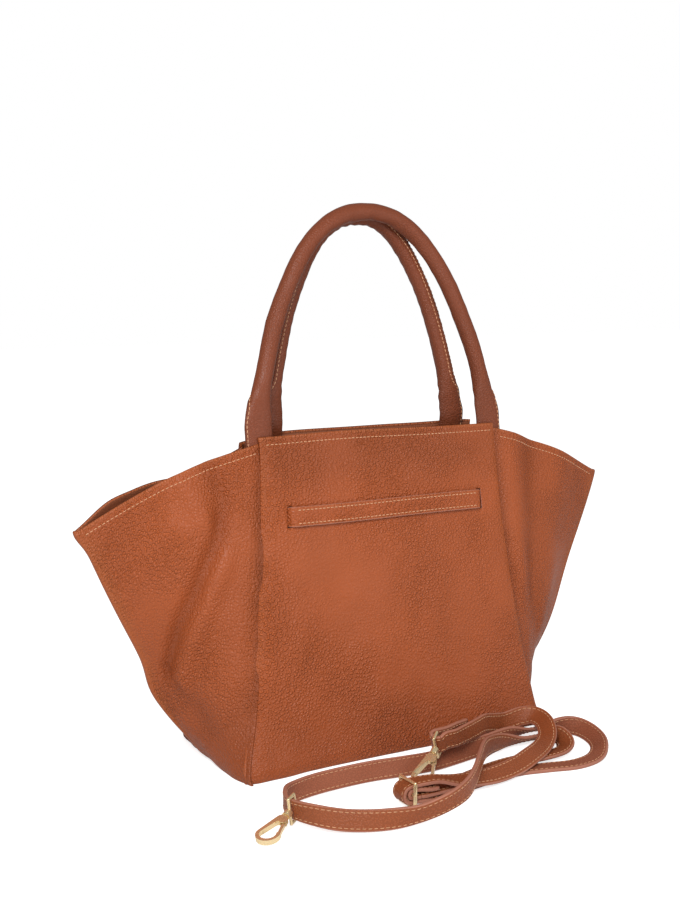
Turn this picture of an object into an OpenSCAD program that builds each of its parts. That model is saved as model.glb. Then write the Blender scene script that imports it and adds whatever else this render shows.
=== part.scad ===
// Trapeze bag: flat front and back, side wings that fold out to two tips, a pair of
// rolled handles, a band threaded through the front, and a loose shoulder strap that
// lies in front of the bag.
// Frame: origin at the middle of the underside, X to the right, Y to the back, Z up, mm.

/* [Bag body] */
// height of the front and back panels
panel_h = 280; // [240:1:320]
// width of the panels along their top edges
panel_top_w = 238; // [210:1:270]
// width of the bag along its base
panel_bottom_w = 305; // [280:1:340]
// how strongly the side creases flare towards the base (1 is a straight crease)
crease_curve = 1.8; // [1:0.1:2.6]
// depth of the base, front to back
base_depth = 138; // [115:1:160]
// distance of the front top edge ahead of the middle
front_top_y = 35; // [26:1:45]
// distance of the back top edge behind the middle
back_top_y = 8; // [4:1:20]
// thickness of the outer leather
leather_t = 2.2; // [1.6:0.1:2.6]
// corner radius of the base
base_corner_r = 10; // [4:1:16]

/* [Wings] */
// distance between the two wing tips
wing_span = 536; // [480:1:580]
// height of the left tip
left_tip_z = 210; // [190:1:225]
// height of the right tip
right_tip_z = 222; // [200:1:232]
// half width of the soft fold that runs down the middle of each wing
fold_half = 3.2; // [2.8:0.1:5]
// how far the wings stand proud of a flat sheet
wing_bulge = 7; // [0:0.5:12]
// upward curve of the left wing's mouth edge
left_crown = 9; // [0:0.5:14]
// upward curve of the right wing's mouth edge
right_crown = 4; // [0:0.5:14]
// step down from the panel's top edge to the wing's mouth edge
wing_step = 4; // [2:0.5:8]

/* [Inside] */
// thickness of the stiffening board in the base
board_t = 2.5; // [1.5:0.1:4]
// thickness of the lining cloth
lining_t = 0.8; // [0.6:0.1:1.2]
// room between the leather and the lining for turned ends
lining_gap = 2.2; // [2:0.1:3]
// height of the leather facing inside each top edge
facing_h = 40; // [30:1:50]
// thickness of the facing leather
facing_t = 2.4; // [1:0.1:2.6]
// diameter of the snap halves
snap_d = 18; // [14:1:22]
// thickness of the snap's seating disc
snap_t = 3; // [2:0.1:4]
// diameter of the snap's stud
snap_stud_d = 6; // [4:0.5:8]

/* [Front band] */
// width of the band and height of its slots
band_w = 17; // [14:0.5:20]
// thickness of the band
band_t = 3; // [2.4:0.1:3.4]
// distance between the two slots
band_span = 195; // [160:1:200]
// height of the band's middle above the floor
band_z = 214; // [190:1:225]
// width of each slot
slot_w = 4.6; // [4:0.1:6]
// clearance between the band and the front face
band_lift = 1.2; // [0.6:0.1:2.5]

/* [Handles] */
// diameter of a rolled handle
handle_d = 15.5; // [13:0.5:18]
// thickness of the handle leather
handle_t = 1.9; // [1.4:0.1:2.2]
// distance of the front handle's ends inside the panel's top corners
front_handle_in = 2; // [1:1:12]
// distance of the back handle's ends inside the panel's top corners
back_handle_in = 25; // [12:1:34]
// rise of the front handle's middle line above its bends
front_handle_h = 186.5; // [160:0.5:200]
// rise of the back handle's middle line above its bends
back_handle_h = 182.5; // [156:0.5:196]
// lean of the front handle towards the back
front_lean = 7; // [5:0.1:7.4]
// lean of the back handle towards the back
back_lean = 4.2; // [3.8:0.1:6]
// width of the flat handle ends
tab_w = 26; // [22:1:28]
// length over which a round handle opens out into its flat end
flare_h = 34; // [24:1:44]
// length of the flat tab sewn inside the bag
tab_h = 42; // [36:1:46]
// height of the tabs above the top edges, where the handles bend
tab_rise = 5.5; // [5:0.1:8]

/* [Ring loops] */
// inner width of the wing rings
ring_w = 20; // [18.5:0.5:22]
// wire diameter of the wing rings
ring_wire = 3; // [2.4:0.1:3.2]
// distance of each ring's straight side below its wing tip
ring_drop = 8; // [4:0.5:14]
// thickness of the ring's leather loop
loop_t = 1.3; // [1:0.1:1.5]

/* [Shoulder strap] */
// width of the shoulder strap
strap_w = 17; // [15:0.5:18]
// thickness of the shoulder strap
strap_t = 3.2; // [2.6:0.1:3.4]
// wire diameter of the hook eyes
eye_wire = 2.6; // [2.2:0.1:2.8]
// depth of the hook frames
hook_t = 4; // [3.4:0.1:4.6]
// radius of the round end of each hook
hook_r = 9.5; // [8.5:0.1:10.5]
// length of a hook frame from its neck to its round end's middle
hook_l = 21; // [18:0.5:24]
// diameter of the slider's bars
slider_wire = 2.6; // [2.2:0.1:2.8]
// clearance between strap layers in the slider
layer_gap = 0.4; // [0.3:0.05:0.5]

/* [Hidden] */
$fn = 48;

leather = [0.62, 0.30, 0.15];
leather_dark = [0.50, 0.24, 0.12];
cloth = [0.55, 0.42, 0.30];
gold = [0.85, 0.70, 0.42];
board_grey = [0.35, 0.33, 0.31];

seam = 0.4;
body_z0 = leather_t + seam;
front_tilt = atan((base_depth / 2 - front_top_y) / panel_h);
back_tilt = atan((base_depth / 2 - back_top_y) / panel_h);

function lerp(a, b, t) = a + (b - a) * t;
function smooth(t) = let(c = min(1, max(0, t))) c * c * (3 - 2 * c);
function unit(v) = v / norm(v);

// the bag's outer skin
function half_w(v) =
  panel_top_w / 2 + (panel_bottom_w - panel_top_w) / 2 * pow(max(0, 1 - v), crease_curve);
function front_y(v) = -lerp(base_depth / 2, front_top_y, v);
function back_y(v) = lerp(base_depth / 2, back_top_y, v);
function tip_z(side) = side < 0 ? left_tip_z : right_tip_z;
function crown(side) = side < 0 ? left_crown : right_crown;
function crease_z(v) = lerp(body_z0, panel_h - wing_step, v);
function crease_gap(v) = lerp(0.040, 0.008, v);

// a point of a wing: u runs from the crease to the fold, v from the base to the mouth
function wing_pt(side, back, u, v) =
  let(
    cz = crease_z(v),
    cv = cz / panel_h,
    cy = back ? back_y(cv) : front_y(cv),
    cx = half_w(cv),
    fx = lerp(panel_bottom_w / 2, wing_span / 2, v),
    fy = (back ? 1 : -1) * fold_half,
    across = [abs(cy - fy), fx - cx],
    out = norm(across) > 0 ? across / norm(across) : [1, 0],
    b = wing_bulge * sin(180 * u) * sin(150 * v)
  )
  [ side * (lerp(cx, fx, u) + out[0] * b),
    lerp(cy, fy, u) + (back ? 1 : -1) * out[1] * b,
    lerp(cz, lerp(body_z0, tip_z(side), v), u) + crown(side) * sin(180 * u) * pow(v, 3) ];

function crease_pt(side, back, v) =
  let(cz = crease_z(v), cv = cz / panel_h)
  [side * half_w(cv), back ? back_y(cv) : front_y(cv), cz];

wing_n = 9;
rows_n = 12;
function u_at(k, u0, u1) = lerp(u0, u1, k / wing_n);

// one closed ring round the whole bag, clockwise seen from above; the wings run from
// u0 next to the crease to u1 near the fold
function bag_ring(v, u0, u1) = concat(
  [crease_pt(-1, false, v)],
  [for (k = [0 : wing_n]) wing_pt(-1, false, u_at(k, u0, u1), v)],
  [for (k = [wing_n : -1 : 0]) wing_pt(-1, true, u_at(k, u0, u1), v)],
  [crease_pt(-1, true, v), crease_pt(1, true, v)],
  [for (k = [0 : wing_n]) wing_pt(1, true, u_at(k, u0, u1), v)],
  [for (k = [wing_n : -1 : 0]) wing_pt(1, false, u_at(k, u0, u1), v)],
  [crease_pt(1, false, v)]
);

// moves a closed ring inwards by d, corners mitred
function inset_ring(r, d) = let(n = len(r))
  [for (i = [0 : n - 1])
    let(
      p = r[(i + n - 1) % n],
      q = r[i],
      s = r[(i + 1) % n],
      e1 = unit([q[0] - p[0], q[1] - p[1]]),
      e2 = unit([s[0] - q[0], s[1] - q[1]]),
      n1 = [e1[1], -e1[0]],
      n2 = [e2[1], -e2[0]],
      m = (n1 + n2) / (1 + n1 * n2)
    )
    [q[0] + d * m[0], q[1] + d * m[1], q[2]]];

// closed solid between two matching grids of points (rows of columns)
module grid_shell(outer, inner) {
  n = len(outer);
  m = len(outer[0]);
  off = n * m;
  pts = concat([for (r = outer) each r], [for (r = inner) each r]);
  skin = [for (j = [0 : n - 2], i = [0 : m - 2])
    let(a = j * m + i, b = a + 1, d = a + m, c = d + 1) each [[a, b, c], [a, c, d]]];
  back_skin = [for (f = skin) [f[2] + off, f[1] + off, f[0] + off]];
  low = [for (i = [0 : m - 2])
    each [[i + 1, i, i + off], [i + 1, i + off, i + 1 + off]]];
  k = (n - 1) * m;
  high = [for (i = [0 : m - 2])
    each [[k + i, k + i + 1, k + i + 1 + off], [k + i, k + i + 1 + off, k + i + off]]];
  near = [for (j = [0 : n - 2])
    let(a = j * m, d = a + m) each [[a, d, d + off], [a, d + off, a + off]]];
  far = [for (j = [0 : n - 2])
    let(b = j * m + m - 1, c = b + m) each [[c, b, b + off], [c, b + off, c + off]]];
  polyhedron(points = pts, faces = concat(skin, back_skin, low, high, near, far));
}

// closed solid swept through rings; a second set of rings makes it hollow
module ring_sweep(rings) {
  n = len(rings);
  m = len(rings[0]);
  pts = [for (r = rings) each r];
  skin = [for (j = [0 : n - 2], i = [0 : m - 1])
    let(a = j * m + i, b = j * m + (i + 1) % m, d = a + m, c = b + m)
      each [[a, b, c], [a, c, d]]];
  start = [[for (i = [m - 1 : -1 : 0]) i]];
  end = [[for (i = [0 : m - 1]) (n - 1) * m + i]];
  polyhedron(points = pts, faces = concat(skin, start, end));
}

module ring_tube(outer, inner) {
  n = len(outer);
  m = len(outer[0]);
  off = n * m;
  pts = concat([for (r = outer) each r], [for (r = inner) each r]);
  skin = [for (j = [0 : n - 2], i = [0 : m - 1])
    let(a = j * m + i, b = j * m + (i + 1) % m, d = a + m, c = b + m)
      each [[a, b, c], [a, c, d]]];
  bore = [for (f = skin) [f[2] + off, f[1] + off, f[0] + off]];
  start = [for (i = [0 : m - 1])
    let(b = (i + 1) % m) each [[b, i, i + off], [b, i + off, b + off]]];
  k = (n - 1) * m;
  end = [for (i = [0 : m - 1])
    let(b = (i + 1) % m)
      each [[k + i, k + b, k + b + off], [k + i, k + b + off, k + i + off]]];
  polyhedron(points = pts, faces = concat(skin, bore, start, end));
}

// places a drawing on the outside of the front or the back panel:
// x across, y up the slope from the base, z outwards
module on_front() {
  multmatrix([[1, 0, 0, 0],
              [0, sin(front_tilt), -cos(front_tilt), -base_depth / 2],
              [0, cos(front_tilt), sin(front_tilt), 0],
              [0, 0, 0, 1]])
    children();
}

module on_back() {
  multmatrix([[-1, 0, 0, 0],
              [0, -sin(back_tilt), cos(back_tilt), base_depth / 2],
              [0, cos(back_tilt), sin(back_tilt), 0],
              [0, 0, 0, 1]])
    children();
}

panel_steps = 12;
panel_foot = 3;
module panel_sheet(tilt) {
  v0 = panel_foot / panel_h;
  vs = [for (k = [0 : panel_steps]) lerp(v0, 1, k / panel_steps)];
  right = [for (v = vs) [half_w(v), v * panel_h / cos(tilt)]];
  left = [for (k = [panel_steps : -1 : 0]) [-right[k][0], right[k][1]]];
  translate([0, 0, -leather_t])
    linear_extrude(height = leather_t)
      polygon(concat(right, left));
}

// front panel with the two upright slots the band passes through
module front_panel() {
  color(leather)
    on_front()
      difference() {
        panel_sheet(front_tilt);
        for (s = [-1, 1])
          translate([s * band_span / 2 - slot_w / 2, band_y - band_w / 2 - 0.4, -10])
            cube([slot_w, band_w + 0.8, 20]);
      }
}

module back_panel() {
  color(leather)
    on_back()
      panel_sheet(back_tilt);
}

module wing(first, last) {
  rows = [for (j = [0 : rows_n]) bag_ring(j / rows_n, crease_gap(j / rows_n), 1)];
  inner = [for (r = rows) inset_ring(r, leather_t)];
  grid_shell([for (r = rows) [for (i = [first : last]) r[i]]],
             [for (r = inner) [for (i = [first : last]) r[i]]]);
}

module left_wing() {
  color(leather) wing(1, 2 * wing_n + 2);
}

module right_wing() {
  color(leather) wing(2 * wing_n + 5, 4 * wing_n + 6);
}

module round_plate(w, d, t, r) {
  linear_extrude(height = t)
    union() {
      square([w - 2 * r, d], center = true);
      square([w, d - 2 * r], center = true);
      for (i = [-1, 1], j = [-1, 1])
        translate([i * (w / 2 - r), j * (d / 2 - r)])
          circle(r = r);
    }
}

module base_panel() {
  color(leather)
    round_plate(panel_bottom_w, base_depth, leather_t, base_corner_r);
}

board_inset = 5;
board_z = leather_t + seam;
module base_board() {
  color(board_grey)
    translate([0, 0, board_z])
      round_plate(panel_bottom_w - 2 * board_inset, base_depth - 2 * board_inset,
                  board_t, base_corner_r - 2);
}

// lining: a sewn cloth bag that follows the leather, stops below the facings and
// ends in each wing where the leather comes together
lining_u0 = 0.12;
lining_u1 = 0.8;
lining_v0 = (board_z + board_t + seam - body_z0) / (panel_h - wing_step - body_z0);
lining_v1 = (panel_h - facing_h - 6 - body_z0) / (panel_h - wing_step - body_z0);
function lining_row(v, d, z) = let(r = inset_ring(bag_ring(v, lining_u0, lining_u1), d))
  [for (p = r) [p[0], p[1], z < 0 ? p[2] : z]];

module lining() {
  d0 = leather_t + lining_gap;
  vs = [for (j = [0 : rows_n]) lerp(lining_v0, lining_v1, j / rows_n)];
  floor_z = board_z + board_t + seam;
  outer = [for (j = [0 : rows_n]) lining_row(vs[j], d0, j == 0 ? floor_z : -1)];
  inner = [for (j = [0 : rows_n])
    lining_row(vs[j], d0 + lining_t, j == 0 ? floor_z + lining_t : -1)];
  n = len(outer);
  m = len(outer[0]);
  off = n * m;
  skin = [for (j = [0 : n - 2], i = [0 : m - 1])
    let(a = j * m + i, b = j * m + (i + 1) % m, d = a + m, c = b + m)
      each [[a, b, c], [a, c, d]]];
  bore = [for (f = skin) [f[2] + off, f[1] + off, f[0] + off]];
  k = (n - 1) * m;
  rim = [for (i = [0 : m - 1])
    let(b = (i + 1) % m)
      each [[k + i, k + b, k + b + off], [k + i, k + b + off, k + i + off]]];
  under = [[for (i = [m - 1 : -1 : 0]) i]];
  top = [[for (i = [0 : m - 1]) i + off]];
  color(cloth)
    polyhedron(points = concat([for (r = outer) each r], [for (r = inner) each r]),
               faces = concat(skin, bore, rim, under, top));
}

// leather facings inside the two top edges; they carry the snap
facing_z = -leather_t - 0.3;
facing_w = panel_top_w - 4;
module facing(tilt) {
  top = panel_h / cos(tilt) - 1.5;
  translate([-facing_w / 2, top - facing_h, facing_z - facing_t])
    cube([facing_w, facing_h, facing_t]);
}

snap_drop = 18;
module front_facing() {
  color(leather_dark)
    on_front() facing(front_tilt);
}

module back_facing() {
  color(leather_dark)
    on_back() facing(back_tilt);
}

module snap_socket() {
  color(gold)
    on_front()
      translate([0, panel_h / cos(front_tilt) - snap_drop, facing_z - facing_t])
        rotate([180, 0, 0])
          difference() {
            cylinder(d = snap_d, h = snap_t);
            translate([0, 0, snap_t - 1.6])
              cylinder(d = snap_stud_d + 0.6, h = 2);
          }
}

module snap_stud() {
  color(gold)
    on_back()
      translate([0, panel_h / cos(back_tilt) - snap_drop, facing_z - facing_t])
        rotate([180, 0, 0])
          union() {
            cylinder(d = snap_d, h = snap_t);
            cylinder(d = snap_stud_d, h = snap_t + 1.4);
          }
}

// band across the front: out through one slot, across, and in through the other;
// each end is thinned where it lies between the leather and the lining
band_y = band_z / cos(front_tilt);
tail_t = 1.4;
tail_l = 14;
module front_band() {
  h = band_span / 2;
  t = band_t;
  f = band_lift;
  edge = h + t / 2;
  tail0 = -leather_t - 0.3;
  tail1 = tail0 - tail_t;
  half = [[0, f + t], [edge, f + t], [edge, tail0], [edge + tail_l, tail0],
          [edge + tail_l, tail1], [edge - t, tail1], [edge - t, f], [0, f]];
  color(leather)
    on_front()
      translate([0, band_y - band_w / 2, 0])
        rotate([-90, 0, 0])
          linear_extrude(height = band_w)
            polygon(concat([for (k = [1 : 6]) [half[k][0], -half[k][1]]],
                           [for (k = [6 : -1 : 1]) [-half[k][0], -half[k][1]]]));
}

// handle tabs: the flattened ends of the rolled handles, sewn inside the top edges; each
// ends in a round head on the line where the handle bends
tab_t = 2 * handle_t + 0.6;
hinge_z = panel_h + tab_rise;
tab_set = 3.4;
bend_gap = 3.2;
front_handle_x = panel_top_w / 2 - front_handle_in;
back_handle_x = panel_top_w / 2 - back_handle_in;
front_tab_y = -front_top_y + leather_t + tab_set + tab_t / 2 + tab_rise * tan(front_tilt);
back_tab_y = back_top_y - leather_t - tab_set - tab_t / 2 - tab_rise * tan(back_tilt);
module tab_plate() {
  h = tab_h + tab_rise - 0.5;
  union() {
    translate([-tab_w / 2, 0, 0])
      rotate([0, 90, 0])
        cylinder(d = tab_t, h = tab_w);
    translate([0, tab_t / 2, 0])
      rotate([90, 0, 0])
        linear_extrude(height = tab_t)
          union() {
            translate([-tab_w / 2, -h + tab_w / 2])
              square([tab_w, h - tab_w / 2]);
            translate([0, -h + tab_w / 2])
              circle(d = tab_w);
          }
  }
}

module front_tab(s) {
  color(leather)
    translate([s * front_handle_x, front_tab_y, hinge_z])
      rotate([-front_tilt, 0, 0])
        tab_plate();
}

module back_tab(s) {
  color(leather)
    translate([s * back_handle_x, back_tab_y, hinge_z])
      rotate([back_tilt, 0, 0])
        tab_plate();
}

module front_left_tab() { front_tab(-1); }
module front_right_tab() { front_tab(1); }
module back_left_tab() { back_tab(-1); }
module back_right_tab() { back_tab(1); }

// handle line in its own upright plane, q from -90 at the left end to 90 at the right
arch_a = 2.25;
arch_b = 0.73;
function arch_pt(x, h, q) =
  [x * sin(q), 0,
   bend_gap + (h - bend_gap) * pow(max(0, 1 - pow(abs(sin(q)), arch_a)), arch_b)];
function arch_dir(x, h, q) =
  abs(q) > 89 ? [0, 0, q < 0 ? 1 : -1] : unit(arch_pt(x, h, q + 0.5) - arch_pt(x, h, q - 0.5));

handle_steps = 44;
handle_sides = 20;
function handle_ring(x, h, q, a, b) =
  let(c = arch_pt(x, h, q), d = arch_dir(x, h, q), s = cross(d, [0, 1, 0]))
  [for (i = [0 : handle_sides - 1])
    let(w = -360 * i / handle_sides) c + s * a * cos(w) + [0, 1, 0] * b * sin(w)];

function flare(x, h, q) = smooth((arch_pt(x, h, q)[2] - bend_gap) / flare_h);

// steps crowd towards the ends, where the section changes
function q_at(k, n, qmax) = let(t = 2 * k / n - 1) qmax * t * (1.5 - 0.5 * t * t);

module handle_cover(x, h) {
  r = handle_d / 2;
  qs = [for (k = [0 : handle_steps]) q_at(k, handle_steps, 90)];
  outer = [for (q = qs) let(f = flare(x, h, q))
    handle_ring(x, h, q, lerp(tab_w / 2, r, f), lerp(tab_t / 2, r, f))];
  inner = [for (q = qs) let(f = flare(x, h, q))
    handle_ring(x, h, q, lerp(tab_w / 2, r, f) - handle_t,
                lerp(tab_t / 2, r, f) - handle_t)];
  ring_tube(outer, inner);
}

core_end = 74;
module handle_core(x, h) {
  r = handle_d / 2 - handle_t - 0.25;
  qs = [for (k = [0 : handle_steps - 8]) q_at(k, handle_steps - 8, core_end)];
  ring_sweep([for (q = qs) handle_ring(x, h, q, r, r)]);
}

module front_handle_cover() {
  color(leather)
    translate([0, front_tab_y, hinge_z]) rotate([-front_lean, 0, 0])
      handle_cover(front_handle_x, front_handle_h);
}

module front_handle_core() {
  color(cloth)
    translate([0, front_tab_y, hinge_z]) rotate([-front_lean, 0, 0])
      handle_core(front_handle_x, front_handle_h);
}

module back_handle_cover() {
  color(leather)
    translate([0, back_tab_y, hinge_z]) rotate([-back_lean, 0, 0])
      handle_cover(back_handle_x, back_handle_h);
}

module back_handle_core() {
  color(cloth)
    translate([0, back_tab_y, hinge_z]) rotate([-back_lean, 0, 0])
      handle_core(back_handle_x, back_handle_h);
}

// rings inside the wing tips: each hangs on a folded leather loop whose tail is caught
// in the wing's fold; ring and loop lean with the fold
ring_y = -0.5;
ring_r = (ring_w + ring_wire) / 2;
ring_from_fold = ring_r + ring_wire / 2 + 7;
loop_in = ring_wire / 2 + 0.2;
loop_out = loop_in + loop_t;
loop_w = ring_w - 4;
loop_l = 24;
fold_run = (wing_span - panel_bottom_w) / 2;
function fold_lean(side) = atan(fold_run / (tip_z(side) - body_z0));
function fold_x(side, z) =
  panel_bottom_w / 2 + fold_run * (z - body_z0) / (tip_z(side) - body_z0);

module ring_place(side) {
  z = tip_z(side) - ring_drop;
  translate([side * (fold_x(side, z) - leather_t - ring_from_fold / cos(fold_lean(side))),
             ring_y, z])
    rotate([0, side * fold_lean(side), 0])
      scale([side, 1, 1])
        children();
}

module ring_loop() {
  reach = ring_from_fold - 1.2;
  tail = [[-loop_w / 2, 0], [loop_w / 2, 0], [loop_w / 2, -7], [reach, -12],
          [reach, -loop_l], [-loop_w / 2, -loop_l]];
  difference() {
    union() {
      translate([-loop_w / 2, 0, 0])
        rotate([0, 90, 0])
          cylinder(r = loop_out, h = loop_w);
      for (y = [loop_t + 0.15, -0.15])
        translate([0, y, 0])
          rotate([90, 0, 0])
            linear_extrude(height = loop_t)
              polygon(tail);
    }
    translate([-ring_r, 0, 0])
      rotate([0, 90, 0])
        cylinder(r = loop_in, h = 2 * ring_r);
  }
}

module ring_body() {
  union() {
    translate([-ring_r, 0, 0])
      rotate([0, 90, 0])
        cylinder(d = ring_wire, h = 2 * ring_r);
    rotate([90, 0, 0])
      rotate_extrude(angle = 180)
        translate([ring_r, 0]) circle(d = ring_wire);
    for (s = [-1, 1])
      translate([s * ring_r, 0, 0]) sphere(d = ring_wire);
  }
}

module left_ring_loop() { color(leather_dark) ring_place(-1) ring_loop(); }
module right_ring_loop() { color(leather_dark) ring_place(1) ring_loop(); }
module left_ring() { color(gold) ring_place(-1) ring_body(); }
module right_ring() { color(gold) ring_place(1) ring_body(); }

// slider: its bars lie across the strap, three layers stacked between them
slider_x = -63;
slider_y = -176;
wrap_gap = 0.2;
low_z = 0.3 + slider_wire + layer_gap + strap_t / 2;
bar_z = low_z + strap_t / 2 + layer_gap + strap_t + wrap_gap + slider_wire / 2;
top_z = 2 * bar_z - low_z;
wrap_r = slider_wire / 2 + wrap_gap + strap_t / 2;
curl_r = bar_z - low_z;
fold_r = 5.5;
eye_r = (strap_w + 1.6 + eye_wire) / 2;
eye_leg = 3 * eye_wire / 2 + strap_t + 0.8;
hook1_turn = 212;
hook1_tilt = 12;
hook1_lift = eye_wire + 3.4;
hook1_z = hook1_lift + strap_w / 2 + 0.7;
hook2_turn = 215;
hook2_tilt = 28;
fold2 = [0, -127, 29];
hook2_axis = [cos(hook2_tilt) * cos(hook2_turn), cos(hook2_tilt) * sin(hook2_turn),
              -sin(hook2_tilt)];
hook2_across = [sin(hook2_tilt) * cos(hook2_turn), sin(hook2_tilt) * sin(hook2_turn),
                cos(hook2_tilt)];
hook2_side = cross(hook2_axis, hook2_across);

// the strap's route as it lies: x, y, height of the lowest edge, then the direction
// across its width; strap_w and strap_t set the height of the middle line
half_t = strap_t / 2;
up = [0, 0, 1];
flat = [0, -1, 0];
function at(x, y, lift, w) =
  let(e = unit(w))
  [x, y, lift + strap_w / 2 * abs(e[2]) + half_t * sqrt(max(0, 1 - e[2] * e[2])),
   e[0], e[1], e[2]];
function flat_at(x, y, z) = [x, y, z, 0, -1, 0];
curl_angles = [90, 45, 0, -45, -90];
fold_angles = [90, 45, 0, -45, -90];
lean1 = [-0.18, -0.11, 0.98];
half_lean2 = [-0.18, -0.13, 1];
route = concat(
  [
    at(39, -109.5, 18.6, up), at(27, -114, 19.4, half_lean2),
    at(13, -119, 20.2, hook2_across)
  ],
  [for (q = fold_angles)
    concat(fold2 + fold_r * (cos(q) * hook2_axis + sin(q) * hook2_side), hook2_across)],
  [
    at(16, -128.5, 20, hook2_across), at(32, -121, 19, half_lean2),
    at(48, -112.5, 18.4, up), at(60, -105.5, 17.8, up), at(73, -97, 14, up),
    at(86, -91, 10.5, up), at(98, -86.5, 8, [0, 0.1, 1]),
    at(114, -88, 10.5, [0.15, 0.2, 1]),
    at(123, -97, 13.2, [0.6, 0.2, 0.8]), at(122, -113, 13, [0.8, -0.2, 0.6]),
    at(112, -130, 11.5, [0.75, -0.6, 0.2]), at(95, -145, 9, [0.5, -0.85, -0.2]),
    at(74, -157, 6.2, [0.3, -0.85, -0.42]), at(48, -167, 3.2, [0.2, -0.85, -0.5]),
    at(20, -173, 3, [0.1, -0.88, -0.46]), at(-12, -176, 7.6, [0, -0.95, -0.25]),
    flat_at(-36, -176, top_z - 1.2), flat_at(slider_x + 12, slider_y, top_z),
    flat_at(slider_x + 4, slider_y, top_z)
  ],
  [for (q = curl_angles)
    flat_at(slider_x - 1 - curl_r * cos(q), slider_y, bar_z + curl_r * sin(q))],
  [
    flat_at(slider_x + 4, slider_y, low_z), flat_at(slider_x + 12, slider_y, low_z - 0.5),
    at(-34, -174, 0.5, flat), at(-5, -168, 0.3, flat), at(25, -163, 0.3, flat),
    at(55, -161, 0.3, flat), at(83, -167, 0.3, flat), at(109, -173, 0.3, flat),
    at(133, -169, 0.3, [0.5, -0.85, 0.1]), at(150, -155, 0.3, [0.7, -0.5, 0.5]),
    at(160, -135, 0.3, [0.75, -0.1, 0.7]), at(161, -114, 0.3, [0.4, 0.1, 0.9]),
    at(151, -98, 0.3, [-0.3, -0.4, 0.85]), at(134, -92, 0.5, [0, -0.85, 0.5]),
    at(114, -93, 0.5, [0, -0.85, 0.5]), at(90, -100, 0.5, [0, -0.3, 1]),
    at(64, -108.5, 0.3, [0, 0.2, 1]), at(42, -113, 0.3, [0, 0.4, 0.92]),
    at(20, -117, 0.3, [0, 0.5, 0.87]), at(-2, -119.5, 0.3, [0, 0.6, 0.8]),
    at(-28, -119, 0.3, [0, 0.5, 0.87]), at(-65, -116, 0.3, [0, 0.25, 0.97]),
    at(-108, -118, 0.5, [0, 0.35, 0.94]),
    at(-138, -128, 2, [0, 0.2, 1]), at(-156, -145, hook1_lift, up),
    at(-162, -166, hook1_lift, lean1), at(-153, -187, hook1_lift, up),
    at(-133, -199, 2, [0, 0.3, 1]), at(-106, -210, 0.8, [0, 0.1, 1]),
    at(-80, -218, 3, [0, -0.3, 1]), at(-56, -222, 9, [0, -0.2, 1]),
    at(-34, -215, 13, up), at(-14, -198, 15, up), at(6, -176, 15.5, up),
    at(26, -154, 14.5, up), at(46, -134, 9, up), at(68, -119, 3.5, [0, -0.3, 1]),
    at(92, -111, 0.4, [0, -0.8, 0.6]), at(108, -109.5, 0.4, [-0.05, -0.87, 0.48]),
    at(121, -112, 0.9, [-0.55, -0.6, 0.5]), at(129, -124, 1.2, [0.2, 0, 0.98]),
    at(126, -138, 0.9, [0.75, -0.4, 0.5]), at(113, -147, 2.2, [0.45, -0.85, 0.15]),
    at(90, -150, 4, flat), at(60, -149, 4, flat), at(30, -154, 4, flat),
    at(0, -163, 4.2, flat), at(-26, -171, 5, flat),
    flat_at(slider_x + 14, slider_y, bar_z - wrap_r - 0.3),
    flat_at(slider_x + 8, slider_y, bar_z - wrap_r),
    flat_at(slider_x + 2.4, slider_y, bar_z - wrap_r)
  ],
  [for (q = curl_angles)
    flat_at(slider_x - wrap_r * cos(q), slider_y, bar_z - wrap_r * sin(q))],
  [
    flat_at(slider_x + 2.4, slider_y, bar_z + wrap_r),
    flat_at(slider_x + 8, slider_y, bar_z + wrap_r - 0.5),
    flat_at(slider_x + 16, slider_y, bar_z + wrap_r - 2),
    flat_at(slider_x + 24, slider_y + 1, bar_z + wrap_r - 2.7)
  ]
);

function spline(p0, p1, p2, p3, t) =
  0.5 * (2 * p1 + (p2 - p0) * t + (2 * p0 - 5 * p1 + 4 * p2 - p3) * t * t
         + (3 * p1 - p0 - 3 * p2 + p3) * t * t * t);
strap_sub = 2;
route_n = len(route);
strap_line = concat(
  [for (i = [0 : route_n - 2], k = [0 : strap_sub - 1])
    spline(route[max(0, i - 1)], route[i], route[i + 1],
           route[min(route_n - 1, i + 2)], k / strap_sub)],
  [route[route_n - 1]]);

function strap_ring(i) =
  let(
    n = len(strap_line),
    c = strap_line[i],
    a = strap_line[max(0, i - 1)],
    b = strap_line[min(n - 1, i + 1)],
    d = unit([b[0] - a[0], b[1] - a[1], b[2] - a[2]]),
    w0 = [c[3], c[4], c[5]],
    w = unit(w0 - d * (w0 * d)),
    s = cross(d, w),
    o = [c[0], c[1], c[2]],
    hw = w * strap_w / 2,
    ht = s * strap_t / 2
  )
  [o + hw + ht, o - hw + ht, o - hw - ht, o + hw - ht];

module shoulder_strap() {
  color(leather)
    ring_sweep([for (i = [0 : len(strap_line) - 1]) strap_ring(i)]);
}

slider_in = strap_w + 1.2;
slider_leg = slider_wire + 0.6;
spigot_d = 1.4;
spigot_l = 1.2;
module slider_frame() {
  w = slider_in + slider_leg;
  z0 = 0.3 + slider_wire / 2;
  z1 = 2 * bar_z - z0;
  color(gold)
    translate([slider_x, slider_y, 0])
      difference() {
        union() {
          for (z = [z0, z1])
            translate([0, -w / 2, z])
              rotate([-90, 0, 0])
                cylinder(d = slider_wire, h = w);
          for (s = [-1, 1])
            translate([0, s * w / 2, z0])
              cylinder(d = slider_leg, h = z1 - z0);
          for (s = [-1, 1], z = [z0, z1])
            translate([0, s * w / 2, z])
              sphere(d = slider_wire);
        }
        translate([0, -slider_in / 2 - spigot_l, bar_z])
          rotate([-90, 0, 0])
            cylinder(d = spigot_d + 0.04, h = slider_in + 2 * spigot_l);
      }
}

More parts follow.
